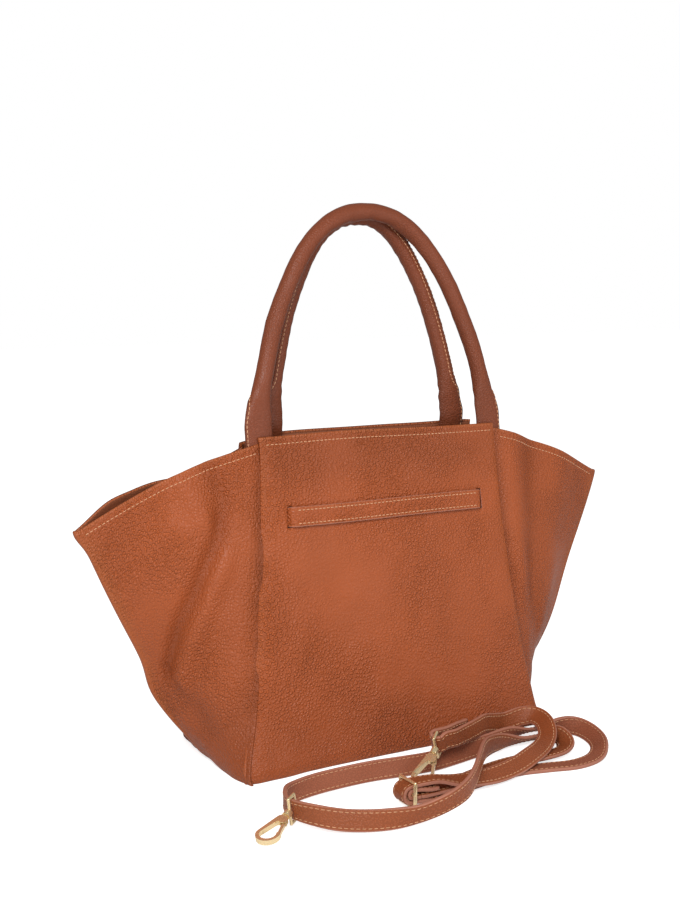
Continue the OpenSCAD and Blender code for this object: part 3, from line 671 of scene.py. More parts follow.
@dataclass(frozen=True)
class BagShape:
    """The bag's outer skin, in millimetres: panels, creases, folds and mouth."""

    height: float = 280.0
    top_w: float = 238.0
    bottom_w: float = 305.0
    curve: float = 1.8
    depth: float = 138.0
    front_top: float = 35.0
    back_top: float = 8.0
    foot: float = 2.6
    span: float = 536.0
    tips: tuple = (210.0, 222.0)
    crowns: tuple = (9.0, 4.0)
    bows: tuple = (9.0, 12.0)
    sags: tuple = (9.0, 4.0)
    swings: tuple = (8.0, -12.0)
    fold_half: float = 3.2
    bulge: float = 7.0
    step: float = 4.0
    thick: float = 2.2
    wing_w: float = 150.0
    wing_h: float = 240.0
    wing_edge: float = 238.0
    band_z: float = 214.0
    slot_half: float = 9.0
    slot_shares: tuple = (0.783, 0.8207)
    tab_rise: float = 5.5
    tab_set: float = 5.6

    def half_w(self, v: np.ndarray) -> np.ndarray:
        """Half the panels' width at a share v of their height."""
        return self.top_w / 2 + (self.bottom_w - self.top_w) / 2 * np.maximum(
            0, 1 - v) ** self.curve

    def face_y(self, back: bool, v: np.ndarray) -> np.ndarray:
        """The y of the front or back panel at a share v of its height."""
        return lerp(self.depth / 2, self.back_top, v) if back else -lerp(
            self.depth / 2, self.front_top, v)

    def tilt(self, back: bool) -> float:
        """How far a panel leans, in radians."""
        return math.atan((self.depth / 2 - (self.back_top if back else self.front_top))
                         / self.height)

    def tab_y(self, back: bool) -> float:
        """Places the handle tabs inside a panel, at their hinge.

        Args:
            back: True for the back panel.

        Returns:
            Their y.
        """
        top, turn = (self.back_top, -1) if back else (self.front_top, 1)
        rise = self.tab_rise * math.tan(self.tilt(back))
        return round(turn * (self.thick + self.tab_set + rise - top), 3)

    def swell(self, p: np.ndarray) -> np.ndarray:
        """Lets the leather that rests on the ground sag outwards at the front.

        Args:
            p: points of the skin.

        Returns:
            The points, moved.
        """
        x, y, z = p[..., 0], p[..., 1], p[..., 2]
        corner = 6.5 * bell(x, -138, 48) * bell(y, -66, 44) * bell(z, 0, 30)
        front = 3.5 * bell(y, -70, 30) * bell(z, 0, 18)
        return p + np.stack([-corner, -corner - front, 0 * corner], -1)

    def back_drop(self, x: np.ndarray) -> np.ndarray:
        """How far the back's top edge sinks towards the left wing."""
        return -7.2 * bell(x, -self.top_w / 2, 24)

    def fold_depth(self, v: np.ndarray) -> np.ndarray:
        """How deep a wing's fold is; it opens flat towards the base."""
        return self.fold_half * smooth(v / 0.3)

    def on_panel(self, back: bool, x: np.ndarray, z: np.ndarray, n: np.ndarray) -> np.ndarray:
        """Places points on a panel.

        Args:
            back: True for the back panel.
            x, z: across, and the height on the panel's plane.
            n: the distance outwards from the plane.

        Returns:
            The points.
        """
        x, z, n = np.broadcast_arrays(x, z, n)
        a = self.tilt(back)
        turn = 1 if back else -1
        return self.swell(np.stack([
            x, self.face_y(back, z / self.height) + turn * n * math.cos(a),
            z + n * math.sin(a)], -1))

    def wing(self, side: Side, back: bool, u: np.ndarray, v: np.ndarray) -> np.ndarray:
        """Places points on a wing's outer skin.

        Args:
            side: which wing.
            back: True for its back half.
            u: 0 at the crease, 1 at the fold.
            v: 0 at the base, 1 at the mouth.

        Returns:
            The points.
        """
        k = 0 if side is Side.LEFT else 1
        turn = 1 if back else -1
        cz = lerp(self.foot, self.height - self.step, v)
        cx, cy = self.half_w(cz / self.height), self.face_y(back, cz / self.height)
        fx = (lerp(self.bottom_w / 2, self.span / 2, v) - self.fold_depth(v)
              + self.bows[k] * np.maximum(0, np.sin(math.pi * v)) ** (1 - 0.25 * k)
              + self.sags[k] * (bell(v, 0.17, 0.13) + 0.45 * bell(v, 0, 0.1)))
        if k == 0:
            fx = fx + 6.5 * bell(v, 0.31, 0.1) + 4.5 * bell(v, 0.985, 0.05)
        fy = turn * self.fold_half + self.swings[k] * bell(v, 0.34, 0.2)
        ax, ay = np.abs(cy - fy), fx - cx
        far = np.hypot(ax, ay) + 1e-9
        b = self.bulge * np.sin(math.pi * u) * np.sin(math.radians(150) * v)
        x = side.value * (lerp(cx, fx, u) + ax / far * b)
        y = lerp(cy, fy, u) + turn * ay / far * b
        z = (lerp(cz, lerp(self.foot, self.tips[k], v), u)
             + self.crowns[k] * np.sin(math.pi * u) * v ** 3)
        if back and k == 0:
            z = z + v ** 3 * (4 * bell(u, 0.82, 0.12) - 16 * bell(u, 0.25, 0.28))
        return self.swell(np.stack(np.broadcast_arrays(x, y, z), -1))


class Sheet:
    """A sheet of leather or cloth with a thickness, rounded at its borders."""

    def __init__(self, mid: np.ndarray, half: np.ndarray | float, sign: int = 1,
                 wrap: bool = False) -> None:
        """Takes the sheet's middle surface.

        Args:
            mid: rows and columns of points, in millimetres.
            half: half its thickness, one number or one for each point.
            sign: 1 or -1, which way its good face looks.
            wrap: True where the last column meets the first.
        """
        self.mid = mid
        self.half = np.broadcast_to(half, mid.shape[:2]).astype(float)
        self.sign = sign
        self.wrap = wrap
        if wrap:
            across = np.roll(mid, -1, 1) - np.roll(mid, 1, 1)
        else:
            across = np.gradient(mid, axis=1)
        self.rise = unit(np.gradient(mid, axis=0))
        self.run = unit(across)
        self.normal = sign * unit(np.cross(self.run, self.rise))

    @classmethod
    def from_skin(cls, skin: np.ndarray, half: np.ndarray | float, sign: int = 1,
                  push: np.ndarray | float = 0.0) -> "Sheet":
        """Makes a sheet whose good face is a skin pushed outwards."""
        first = cls(skin, half, sign)
        return cls(skin + first.normal * (push - first.half)[..., None], half, sign)

    def face(self, outer: bool = True) -> np.ndarray:
        """The points of its good face, or of its back."""
        return self.mid + (1 if outer else -1) * self.normal * self.half[..., None]

    def row(self, j: int, outer: bool = True) -> Pair:
        """A row of points on a face with the directions out of it."""
        return self.face(outer)[j], self.normal[j] * (1 if outer else -1)

    def build(self, name: str, finishes: Sequence[bpy.types.Material],
              grain: np.ndarray | float = 1.0, wear: np.ndarray | float = 0.0,
              tone_and_painted_shading: np.ndarray | float = 0.0,
              holes: Sequence[tuple[int, int, int, int]] = ()) -> bpy.types.Object:
        """Makes the sheet's closed mesh.

        Args:
            name: the piece's name.
            finishes: materials of the good face, the back and the cut edge.
            grain, wear, tone_and_painted_shading: what the leather's layers of those names hold;
                the last darkens the hide, as tone and as painted shading.
            holes: row and column ranges of cells left open, as (j0, j1, i0, i1).

        Returns:
            The object.
        """
        n, m = self.half.shape
        bend = np.radians([90.0, 60.0, 30.0])
        rows = np.concatenate([[0] * 3, np.arange(n), [n - 1] * 3])
        row_a = np.concatenate([-bend, np.zeros(n), bend[::-1]])
        if self.wrap:
            cols, col_a = np.arange(m), np.zeros(m)
        else:
            cols = np.concatenate([[0] * 3, np.arange(m), [m - 1] * 3])
            col_a = np.concatenate([-bend, np.zeros(m), bend[::-1]])
        pick = np.ix_(rows, cols)
        half = self.half[pick]
        ra, ca = row_a[:, None], col_a[None, :]
        pos = (self.mid[pick] + self.rise[pick] * (half * np.sin(ra))[..., None]
               + self.run[pick] * (half * np.sin(ca))[..., None])
        off = self.normal[pick] * (half * np.cos(ra) * np.cos(ca))[..., None]
        h, w = half.shape
        top = np.arange(h * w).reshape(h, w)
        low = top + h * w
        shut = np.zeros((h, w), bool)
        shut[[0, -1], :] = True
        if not self.wrap:
            shut[:, [0, -1]] = True
        low = np.where(shut, top, low)
        lead = 0 if self.wrap else 3
        cells_w = w if self.wrap else w - 1
        open_cell = np.zeros((h - 1, cells_w), bool)
        for j0, j1, i0, i1 in holes:
            open_cell[j0 + 3:j1 + 3, i0 + lead:i1 + lead] = True
        faces, finish = [], []
        for j in range(h - 1):
            for i in range(cells_w):
                k = (i + 1) % w
                if open_cell[j, i]:
                    for (a, b), dj, di in ((((j, i), (j, k)), -1, 0),
                                           (((j + 1, k), (j + 1, i)), 1, 0),
                                           (((j + 1, i), (j, i)), 0, -1),
                                           (((j, k), (j + 1, k)), 0, 1)):
                        if not open_cell[j + dj, i + di]:
                            faces.append((top[a], top[b], low[b], low[a]))
                            finish.append(2)
                    continue
                edge = j < 3 or j >= h - 4 or (not self.wrap and (i < 3 or i >= w - 4))
                faces.append((top[j, i], top[j, k], top[j + 1, k], top[j + 1, i]))
                faces.append((low[j + 1, i], low[j + 1, k], low[j, k], low[j, i]))
                finish += [0, 0 if edge else 1]
        uv = np.stack([along(self.mid, 1), along(self.mid, 0)], -1)[pick] * MM
        layers = {"grain": np.broadcast_to(grain, (n, m))[pick],
                  "wear": np.broadcast_to(wear, (n, m))[pick],
                  "tone_and_painted_shading": np.broadcast_to(tone_and_painted_shading, (n, m))[pick]}
        used = np.unique(np.array([i for f in faces for i in f]))
        new = np.zeros(2 * h * w, int)
        new[used] = np.arange(len(used))
        verts = np.concatenate([(pos + off).reshape(-1, 3), (pos - off).reshape(-1, 3)])[used]
        return new_piece(
            name, verts, [tuple(int(new[i]) for i in f) for f in faces], finishes,
            uv=np.concatenate([uv.reshape(-1, 2), uv.reshape(-1, 2) + 0.4])[used],
            face_finish=finish,
            layers={k: np.concatenate([v.ravel(), v.ravel()])[used]
                    for k, v in layers.items()})


def stitches(name: str, rows: Sequence[Pair],
             finish: bpy.types.Material, pitch: float = 2.6, thick: float = 0.64,
             share: float = 0.74) -> bpy.types.Object:
    """Sews rows of single stitches as one piece.

    Args:
        name: the piece's name.
        rows: for each row its points and the directions out of the leather there.
        finish: the thread's material.
        pitch: from one stitch to the next.
        thick: the thread's diameter.
        share: how much of the pitch shows as thread.

    Returns:
        The object.
    """
    sides = np.radians(np.arange(0, 360, 60))
    one = tube_faces(5, len(sides))
    verts, faces, base = [], [], 0
    for path, out in rows:
        run = along(path, 0)
        count = max(1, int(run[-1] / pitch))
        first = (run[-1] - count * pitch) / 2
        part = np.array([0.0, 0.16, 0.5, 0.84, 1.0])
        lift = np.array([-0.3, 0.1, 0.2, 0.1, -0.3]) * thick
        size = np.array([0.25, 0.44, 0.5, 0.44, 0.25]) * thick
        t = first + (np.arange(count)[:, None] + (1 - share) / 2 + share * part) * pitch
        spot = np.stack([np.interp(t, run, path[:, a]) for a in range(3)], -1)
        n = unit(np.stack([np.interp(t, run, out[:, a]) for a in range(3)], -1))
        way = unit(spot[:, -1] - spot[:, 0])[:, None, :]
        b = unit(np.cross(way, n))
        ring = (spot + n * lift[None, :, None])[:, :, None, :] + size[None, :, None, None] * (
            n[:, :, None, :] * np.cos(sides)[None, None, :, None]
            + b[:, :, None, :] * np.sin(sides)[None, None, :, None])
        verts.append(ring.reshape(-1, 3))
        for _ in range(count):
            faces += [tuple(base + i for i in face) for face in one]
            base += 5 * len(sides)
    return new_piece(name, np.concatenate(verts), faces, [finish])


def ribbon(name: str, path: np.ndarray, across: np.ndarray, width: np.ndarray | float,
           thick: float, finishes: Sequence[bpy.types.Material],
           wear: float = 0.3) -> tuple[bpy.types.Object, np.ndarray, np.ndarray]:
    """Runs a flat strip with painted edges along a path.

    Args:
        name: the piece's name.
        path: its middle points.
        across: the direction of its width at each point.
        width, thick: its size.
        finishes: materials of its face, edges and back.
        wear: how rubbed its corners are.

    Returns:
        The object, the width directions and the directions out of its face.
    """
    way = unit(np.gradient(path, axis=0))
    w = unit(across - way * np.sum(across * way, -1, keepdims=True))
    n = np.cross(way, w)
    half = np.broadcast_to(np.asarray(width, float), (len(path),)) / 2
    deep, r = thick / 2, thick * 0.36
    outline = []
    for sign, face in ((1, 0), (-1, 2)):
        for t in np.linspace(-1, 1, 6):
            rub = wear if face == 0 and abs(t) > 0.9 else 0.0
            outline.append((sign * t, -sign * t * r, sign * deep, face, rub))
        for q in np.radians([30, 60, 90]):
            outline.append((sign, sign * r * (math.sin(q) - 1),
                            sign * (deep - r + r * math.cos(q)), face if q < 1 else 1, wear))
        for q in np.radians([0, 30, 60]):
            outline.append((sign, sign * r * (math.cos(q) - 1),
                            -sign * (deep - r + r * math.sin(q)), 1, wear))
    grow, shift, b, kind, rub = np.array(outline).T
    m, k = len(outline), len(path)
    a = half[:, None] * grow + shift
    verts = path[:, None, :] + w[:, None, :] * a[..., None] + n[:, None, :] * b[None, :, None]
    uv = np.stack(np.broadcast_arrays(along(path, 0)[:, None], a + np.where(b < 0, 40.0, 0.0)),
                  -1) * MM
    faces = tube_faces(k, m)
    finish = [1 if 1 in (kind[i], kind[(i + 1) % m]) else int(kind[i]) for i in range(m)]
    finish = finish * (k - 1) + [1, 1]
    piece = new_piece(name, verts.reshape(-1, 3), faces, finishes, uv=uv.reshape(-1, 2),
                      face_finish=finish,
                      layers={"grain": np.ones(k * m), "wear": np.tile(rub, k)})
    return piece, w, n


# The bag


@dataclass
class Body:
    """Panels, wings, base, lining and what is sewn to them, in millimetres."""

    shape: BagShape
    finishes: Finishes
    seam_in: float = 5.2
    edge_rows: tuple = (0, 1.2, 2.6, 4, 5.2, 6.4, 9, 13)

    def __post_init__(self) -> None:
        """Starts with nothing sewn."""
        self.sewn: list[Pair] = []

    def _own(self, piece: bpy.types.Object, slot: Slot, *nodes: str) -> None:
        """Makes a piece part of the bag.

        Args:
            piece: the object.
            slot: not used.
            nodes: the CAD nodes it stands for.
        """
        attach(piece, "bag")
        if nodes:
            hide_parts(*nodes)
        LOG.info("%s made", piece.name)

    def front_relief(self, x: np.ndarray, z: np.ndarray) -> np.ndarray:
        """How far the front stands off its flat pattern.

        Args:
            x, z: across and up.

        Returns:
            The distance outwards.
        """
        v = z / self.shape.height
        w = self.shape.half_w(v)
        hold = 1 - 0.55 * smooth((z - 225) / 50)
        n = -4.2 * hold * np.clip(1 - (w + x) / 15, 0, 1) ** 2
        n -= 1.8 * np.clip(1 - (w - x) / 7, 0, 1) ** 2
        n += 2.4 * np.sin(math.pi * v) * np.clip(1 - (x / w) ** 2, 0, 1)
        quiet = 1 - 0.8 * bell(z, self.shape.band_z, 16)
        n += 0.7 * wavy(x, z, 3, 95) * quiet * np.clip((z - 8) / 40, 0, 1)
        n += 0.25 * wavy(x, z, 8, 30) * quiet
        n -= 1.3 * bump_at(x, z, -62, 120, 26, 60, 12) + 1.0 * bump_at(x, z, 40, 60, 50, 22, -8)
        return n

    def back_relief(self, x: np.ndarray, z: np.ndarray) -> np.ndarray:
        """How far the back stands off its flat pattern.

        Args:
            x, z: across and up.

        Returns:
            The distance outwards.
        """
        v = z / self.shape.height
        w = self.shape.half_w(v)
        n = -1.6 * np.clip(1 - (w - np.abs(x)) / 7, 0, 1) ** 2
        n += 1.2 * np.sin(math.pi * v) * np.clip(1 - (x / w) ** 2, 0, 1)
        return n + 0.6 * wavy(x, z, 5, 80) * np.clip((z - 8) / 40, 0, 1)

    def top_rise(self, x: np.ndarray) -> np.ndarray:
        """How far the front's top edge bows above its pattern."""
        return 2.0 * bell(x, -38, 70)

    @staticmethod
    def tuck(z: np.ndarray) -> tuple[np.ndarray, np.ndarray]:
        """Returns how far the lowest leather rolls inwards and down under the bag."""
        t = np.clip((12 - z) / 9.4, 0, 1)
        return 2.6 * t ** 2.2, 2.0 * t ** 1.5

    def panel(self, back: bool) -> None:
        """Makes the front or back panel.

        Args:
            back: True for the back.
        """
        s = self.shape
        slot_t = s.slot_shares
        slot_low, slot_high = s.band_z - s.slot_half, s.band_z + s.slot_half
        cols = np.unique(np.round(np.concatenate([
            np.linspace(-1, 1, 61), [-0.995, -0.985, 0.985, 0.995], slot_t,
            [-t for t in slot_t]]), 5))
        cols = np.array([c for c in cols if not any(
            0.001 < abs(abs(c) - t) < 0.012 for t in slot_t) or abs(c) in slot_t])
        low = np.array([2.6, 3.6, 5, 6.6, 8.4, 11, 15])
        mid = np.linspace(20, s.height - 18, 36)
        mid = np.array([z for z in mid if min(abs(z - slot_low), abs(z - slot_high)) > 2])
        z = np.unique(np.concatenate([low, mid, [slot_low, slot_high],
                                      s.height - np.array(self.edge_rows)]))
        zz, tt = np.meshgrid(z, cols, indexing="ij")
        x = tt * (s.half_w(zz / s.height) - 4 * smooth((12 - zz) / 9))
        n = self.back_relief(x, zz) if back else self.front_relief(x, zz)
        inward, down = self.tuck(zz)
        rise = (s.back_drop(x) if back else self.top_rise(x)) * (zz / s.height) ** 10
        skin = s.on_panel(back, x, zz + rise, n - inward)
        skin[..., 2] -= down
        below = s.height - zz
        half = 1.1 + 0.25 * smooth((7 - below) / 2.5) + 0.2 * smooth((4.2 - below) / 2)
        wear = 0.75 * smooth((1.6 - below) / 1.6) + 0.5 * smooth((9 - zz) / 7)
        wear += 0.35 * bell(np.abs(x) - s.half_w(zz / s.height), -1, 3)
        grain = np.ones_like(x)
        holes = []
        if not back:
            strip = bell(s.half_w(zz / s.height) + x, 10, 9)
            grain += (0.25 * strip * smooth((zz - 60) / 60)
                      - 0.72 * bump_at(x, zz, -55, 165, 42, 50)
                      - 0.6 * bump_at(x, zz, 75, 120, 34, 60)
                      - 0.35 * bump_at(x, zz, 10, 60, 70, 26))
            j0, j1 = (int(np.argmin(abs(z - at))) for at in (slot_low, slot_high))
            for side in (-1, 1):
                k = sorted(int(np.argmin(abs(cols - side * t))) for t in slot_t)
                holes.append((j0, j1, k[0], k[1]))
        sheet = Sheet.from_skin(skin, half, -1 if back else 1)
        sheet.mid[..., 2] = np.maximum(sheet.mid[..., 2], half + 0.2)
        sheet = Sheet(sheet.mid, half, -1 if back else 1)
        name = "back_panel_skin" if back else "front_panel_skin"
        # The front is darkened towards its top and towards its bottom.
        piece = sheet.build(name, [self.finishes.leather, self.finishes.lining_leather,
                                   self.finishes.edge], grain=np.clip(grain, 0.1, 1.8),
                            wear=np.clip(wear, 0, 1), holes=holes,
                            tone_and_painted_shading=0.4 * smooth((zz - 222) / 45) + 0.15 * smooth(
                                (90 - zz) / 80))
        self._own(piece, Slot.LEATHER, "back_panel" if back else "front_panel")
        path, out = sheet.row(int(np.argmin(abs(z - (s.height - self.seam_in)))))
        self.sewn.append((path[3:-3], out[3:-3]))

    def wing_relief(self, side: Side, back: bool, u: np.ndarray, v: np.ndarray) -> np.ndarray:
        """The soft hollows and ridges of a wing.

        Args:
            side: which wing.
            back: True for its back half.
            u, v: from the crease to the fold, and from the base to the mouth.

        Returns:
            The distance outwards.
        """
        x, z = u * self.shape.wing_w, v * self.shape.wing_h
        low = np.sin(math.pi * np.clip(u * 1.05, 0, 1)) * bell(v, 0, 0.16)
        if back:
            n = (1.6 * np.sin(2 * math.pi * (u * 1.1 + 0.15)) * np.sin(math.pi * v)
                 + 0.8 * wavy(x, z, 11 + side.value, 70))
            return n - 1.4 * bell(x, 0, 6) + 1.5 * low
        if side is Side.LEFT:
            n = (-3.5 * ridge_along(u, v, [(0.30, 0.82), (0.34, 0.74), (0.49, 0.63),
                                           (0.66, 0.53), (0.85, 0.38)], 0.045)
                 + 2.5 * ridge_along(u, v, [(0.27, 0.70), (0.42, 0.57), (0.58, 0.45),
                                            (0.70, 0.35)], 0.06)
                 + 2.0 * ridge_along(u, v, [(0.46, 0.97), (0.38, 0.86), (0.33, 0.80)], 0.05)
                 + 3.0 * bump_at(u, v, 0.55, 0.80, 0.2, 0.14)
                 - 2.2 * ridge_along(u, v, [(0.30, 0.99), (0.24, 0.85), (0.28, 0.76)], 0.045)
                 + 0.9 * bump_at(u, v, 0.3, 0.3, 0.25, 0.12)
                 - 1.4 * bump_at(u, v, 0.62, 0.2, 0.25, 0.08, 20)) * 2.0
            n += (0.5 * np.sin((v * 1.2 + u * 0.25) * 110) * bell(v, 0.12, 0.05)
                  * np.clip((u - 0.08) * 6, 0, 1))
            dip = 2.6 + 1.8 * smooth((v - 0.1) / 0.3)
        else:
            top = smooth((v - 0.3) / 0.3)
            n = (3.0 * bell(u, 0.15, 0.09) * top
                 - 3.4 * bell(u, 0.35, 0.09) * top
                 + 2.4 * bell(u, 0.62, 0.14) * smooth((v - 0.15) / 0.4)
                 - 1.6 * ridge_along(u, v, [(0.35, 0.45), (0.5, 0.3), (0.75, 0.2)], 0.06))
            n += 0.3 * wavy(u * 60, z, 21, 22) * smooth((0.5 - v) / 0.2)
            dip = 2.4
        n += 2.0 * low + 0.35 * wavy(x, z, 17 + side.value, 45)
        return n - dip * bell(x * np.clip(v, 0.2, 1), 0, 7)

    def wing(self, side: Side) -> None:
        """Makes one wing from the front crease round its fold to the back crease.

        Args:
            side: which wing.
        """
        s = self.shape
        v = np.unique(np.concatenate([[0, 0.004, 0.01, 0.017, 0.026, 0.04],
                                      np.linspace(0.055, 0.925, 40),
                                      1 - np.array(self.edge_rows) / s.wing_edge]))
        u = np.concatenate([[0, 0.012, 0.03], np.linspace(0.055, 1, 40)])
        rows = []
        grain, wear = [], []
        arcs = np.radians(np.linspace(-90, 90, 9))[1:-1]
        for vj in v:
            front = s.wing(side, False, u, vj)
            rear = s.wing(side, True, u[::-1], vj)
            tip = front[-1]
            bend = np.stack([tip[0] + side.value * s.fold_depth(vj) * np.cos(arcs),
                             tip[1] + s.fold_half * (1 + np.sin(arcs)),
                             np.full(len(arcs), tip[2])], -1)
            rows.append(np.concatenate([front, bend, rear]))
            g = np.ones(len(u))
            if side is Side.RIGHT:
                g -= 0.6 * bump_at(u, vj, 0.12, 0.8, 0.1, 0.25)
            else:
                g -= 0.5 * bump_at(u, vj, 0.2, 0.5, 0.12, 0.2)
            grain.append(np.concatenate([g, np.full(len(arcs), 0.6), np.ones(len(u))]))
            fold = 0.6 * bell((1 - u) * s.wing_w, 0, 7)
            rim = 0.7 * float(smooth((vj - 1) * s.wing_edge / 1.8 + 1))
            base = 0.5 * float(smooth((0.03 - vj) / 0.03))
            wear.append(np.clip(np.concatenate([fold, np.full(len(arcs), 0.75), fold[::-1]])
                                + rim + base, 0, 1))
        skin = np.array(rows)
        vv = np.broadcast_to(v[:, None], skin.shape[:2])
        push = np.zeros(skin.shape[:2])
        k = len(u)
        push[:, :k] = self.wing_relief(side, False, np.broadcast_to(u, (len(v), k)), vv[:, :k])
        push[:, -k:] = self.wing_relief(side, True, np.broadcast_to(u[::-1], (len(v), k)),
                                        vv[:, :k])
        run = np.concatenate([u, np.ones(len(arcs)), u[::-1]])
        push *= np.clip((1 - run) / 0.08, 0, 1)[None, :] ** 0.7
        inward, down = self.tuck(skin[..., 2])
        below = (1 - vv) * s.wing_edge
        half = 1.1 + 0.2 * smooth((7 - below) / 2.5) + 0.15 * smooth((4.2 - below) / 2)
        sheet = Sheet.from_skin(skin, half, side.value, push - inward)
        sheet.mid[..., 2] = np.maximum(sheet.mid[..., 2] - down, half + 0.2)
        sheet = Sheet(sheet.mid, half, side.value)
        name = f"{side.name.lower()}_wing_skin"
        # Painted shading on the wing: a little darker overall and towards the base, darker in the
        # relief's hollows and lighter on its ridges, with a painted shadow along the crease.
        piece = sheet.build(name, [self.finishes.leather, self.finishes.lining_leather,
                                   self.finishes.edge], grain=np.array(grain),
                            wear=np.array(wear),
                            tone_and_painted_shading=np.clip(
                                0.1 + 0.3 * smooth((0.4 - vv) / 0.35) - 0.06 * push
                                + 0.5 * bell(run[None, :] * s.wing_w, 0, 7)
                                * smooth((vv - 0.1) / 0.3), 0, 0.8))
        self._own(piece, Slot.LEATHER, f"{side.name.lower()}_wing")
        path, out = sheet.row(int(np.argmin(abs(v - (1 - self.seam_in / s.wing_edge)))))
        self.sewn += [(path[2:k - 1], out[2:k - 1]), (path[-k + 1:-2], out[-k + 1:-2])]

    def base(self) -> None:
        """Makes the base leather, with a rolled edge."""
        s = self.shape
        verts, wear = [], []
        levels = [(0.0, 5.6), (0.05, 4.6), (0.5, 4.0), (1.6, 4.0), (2.15, 4.4), (2.2, 5.6)]
        count = 64
        for z, inset in levels:
            w, d = s.bottom_w / 2 - inset, s.depth / 2 - inset
            for i in range(count):
                q = 2 * math.pi * i / count
                c, n = math.cos(q), math.sin(q)
                verts.append((w * math.copysign(abs(c) ** 0.24, c),
                              d * math.copysign(abs(n) ** 0.24, n),
                              z + (0.1 * math.sin(9 * q) if z in (0.05, 0.5) else 0)))
                wear.append(0.6 if z < 1 else 0.0)
        verts = s.swell(np.array(verts))
        piece = new_piece("base_skin", verts, tube_faces(len(levels), count),
                          [self.finishes.leather],
                          uv=verts[:, :2] * MM,
                          layers={"grain": np.ones(len(verts)), "wear": np.array(wear)})
        self._own(piece, Slot.LEATHER, "base_panel")

    def lining(self) -> None:
        """Makes the cloth lining as one sewn bag that reaches into the wings."""
        s = self.shape
        u = np.linspace(0.12, 0.8, 12)
        vs = np.concatenate([[0.03], np.linspace(0.06, 0.8464, 26)])
        rings = []
        for v in vs:
            cz = float(lerp(s.foot, s.height - s.step, v))
            flat = np.linspace(-1, 1, 15)[1:-1] * float(s.half_w(cz / s.height))
            ring = np.concatenate([
                s.wing(Side.LEFT, False, u, v), s.wing(Side.LEFT, True, u[::-1], v),
                s.on_panel(True, flat, cz, 0.0), s.wing(Side.RIGHT, True, u, v),
                s.wing(Side.RIGHT, False, u[::-1], v), s.on_panel(False, flat[::-1], cz, 0.0)])
            e = unit(np.roll(ring, -1, 0)[:, :2] - ring[:, :2])
            n = np.stack([e[:, 1], -e[:, 0]], -1)
            n = unit(n + np.roll(n, 1, 0))
            wave = 5.8 + 0.5 * wavy(ring[:, 0], ring[:, 2] + ring[:, 1], 31, 60)
            vv = np.full(len(u), v)
            sink = [self.wing_relief(Side.LEFT, False, u, vv),
                    self.wing_relief(Side.LEFT, True, u[::-1], vv), np.zeros(len(flat)),
                    self.wing_relief(Side.RIGHT, True, u, vv),
                    self.wing_relief(Side.RIGHT, False, u[::-1], vv), np.zeros(len(flat))]
            wave += np.maximum(0, -np.concatenate(sink))
            ring[:, :2] += n * wave[:, None]
            rings.append(ring)
        first = rings[0].copy()
        first[:, 2] = 6.3
        middle = np.array([0.0, 0.0, 6.3])
        floor = [middle + (first - middle) * k for k in (0.01, 0.3, 0.6, 0.85, 0.97)]
        mid = np.array(floor + rings)
        sheet = Sheet(mid, 0.45, -1, wrap=True)
        piece = sheet.build("lining_cloth", [self.finishes.cloth] * 3)
        self._own(piece, Slot.LINING, "lining")

    def facing(self, back: bool) -> None:
        """Makes the leather facing inside one top edge.

        Args:
            back: True for the back's.
        """
        s = self.shape
        x = np.linspace(-114, 116, 46)
        top = s.height - 1.5
        z = np.unique(np.concatenate([top - np.array([0, 1, 2.2, 3.7, 5]),
                                      np.linspace(top - 8, top - 33, 7),
                                      top - 39.7 + np.array([0, 1.2, 2.6, 4])]))
        zz, xx = np.meshgrid(z, x, indexing="ij")
        relief = self.back_relief(xx, zz) if back else self.front_relief(xx, zz)
        drop = s.back_drop(xx) * (zz / s.height) ** 10 if back else 0.0
        mid = s.on_panel(back, xx, zz + drop, relief * 0.9 - 4.0)
        half = 1.05 - 0.25 * smooth((3 - (zz - z[0])) / 3)
        name = "back_facing_leather" if back else "front_facing_leather"
        sheet = Sheet(mid, half, -1 if back else 1)
        piece = sheet.build(name, [self.finishes.lining_leather] * 3, wear=0.2)
        self._own(piece, Slot.DARK_LEATHER, "back_facing" if back else "front_facing")
        self.sewn.append(sheet.row(3, outer=False))

    def ring_loop(self, side: Side) -> None:
        """Makes the folded leather loop that holds a wing's ring.

        Args:
            side: which wing.
        """
        s = self.shape
        tip = s.tips[0 if side is Side.LEFT else 1]
        run = (s.span - s.bottom_w) / 2
        lean = math.atan(run / (tip - s.foot))
        z = tip - 8.0
        x = s.bottom_w / 2 + run * (z - s.foot) / (tip - s.foot)
        place = np.array([side.value * (x - s.thick - 20.0 / math.cos(lean)), -0.5, z])
        across = np.array([side.value * math.cos(lean), 0.0, -math.sin(lean)])
        rise = np.array([side.value * math.sin(lean), 0.0, math.cos(lean)])
        q = np.radians(np.linspace(-35, 215, 15))
        line = ([(0.8, z0) for z0 in (-23.6, -18.0, -12.5, -9.0, -6.5)]
                + [(2.35 * math.cos(a), 2.35 * math.sin(a)) for a in q]
                + [(-0.8, z0) for z0 in (-6.5, -9.0, -12.5, -18.0, -23.6)])
        line = np.array(line)
        deep = np.clip((-7 - line[:, 1]) / 5, 0, 1)
        path = (place + line[:, :1] * np.array([0.0, 1.0, 0.0]) + line[:, 1:] * rise
                + (deep * 5.3)[:, None] * across)
        piece, _, _ = ribbon(f"{side.name.lower()}_ring_loop_strap", path,
                             np.tile(across, (len(path), 1)), 15.8 + deep * 10.6, 1.25,
                             [self.finishes.lining_leather, self.finishes.edge,
                              self.finishes.lining_leather])
        self._own(piece, Slot.DARK_LEATHER, f"{side.name.lower()}_ring_loop")

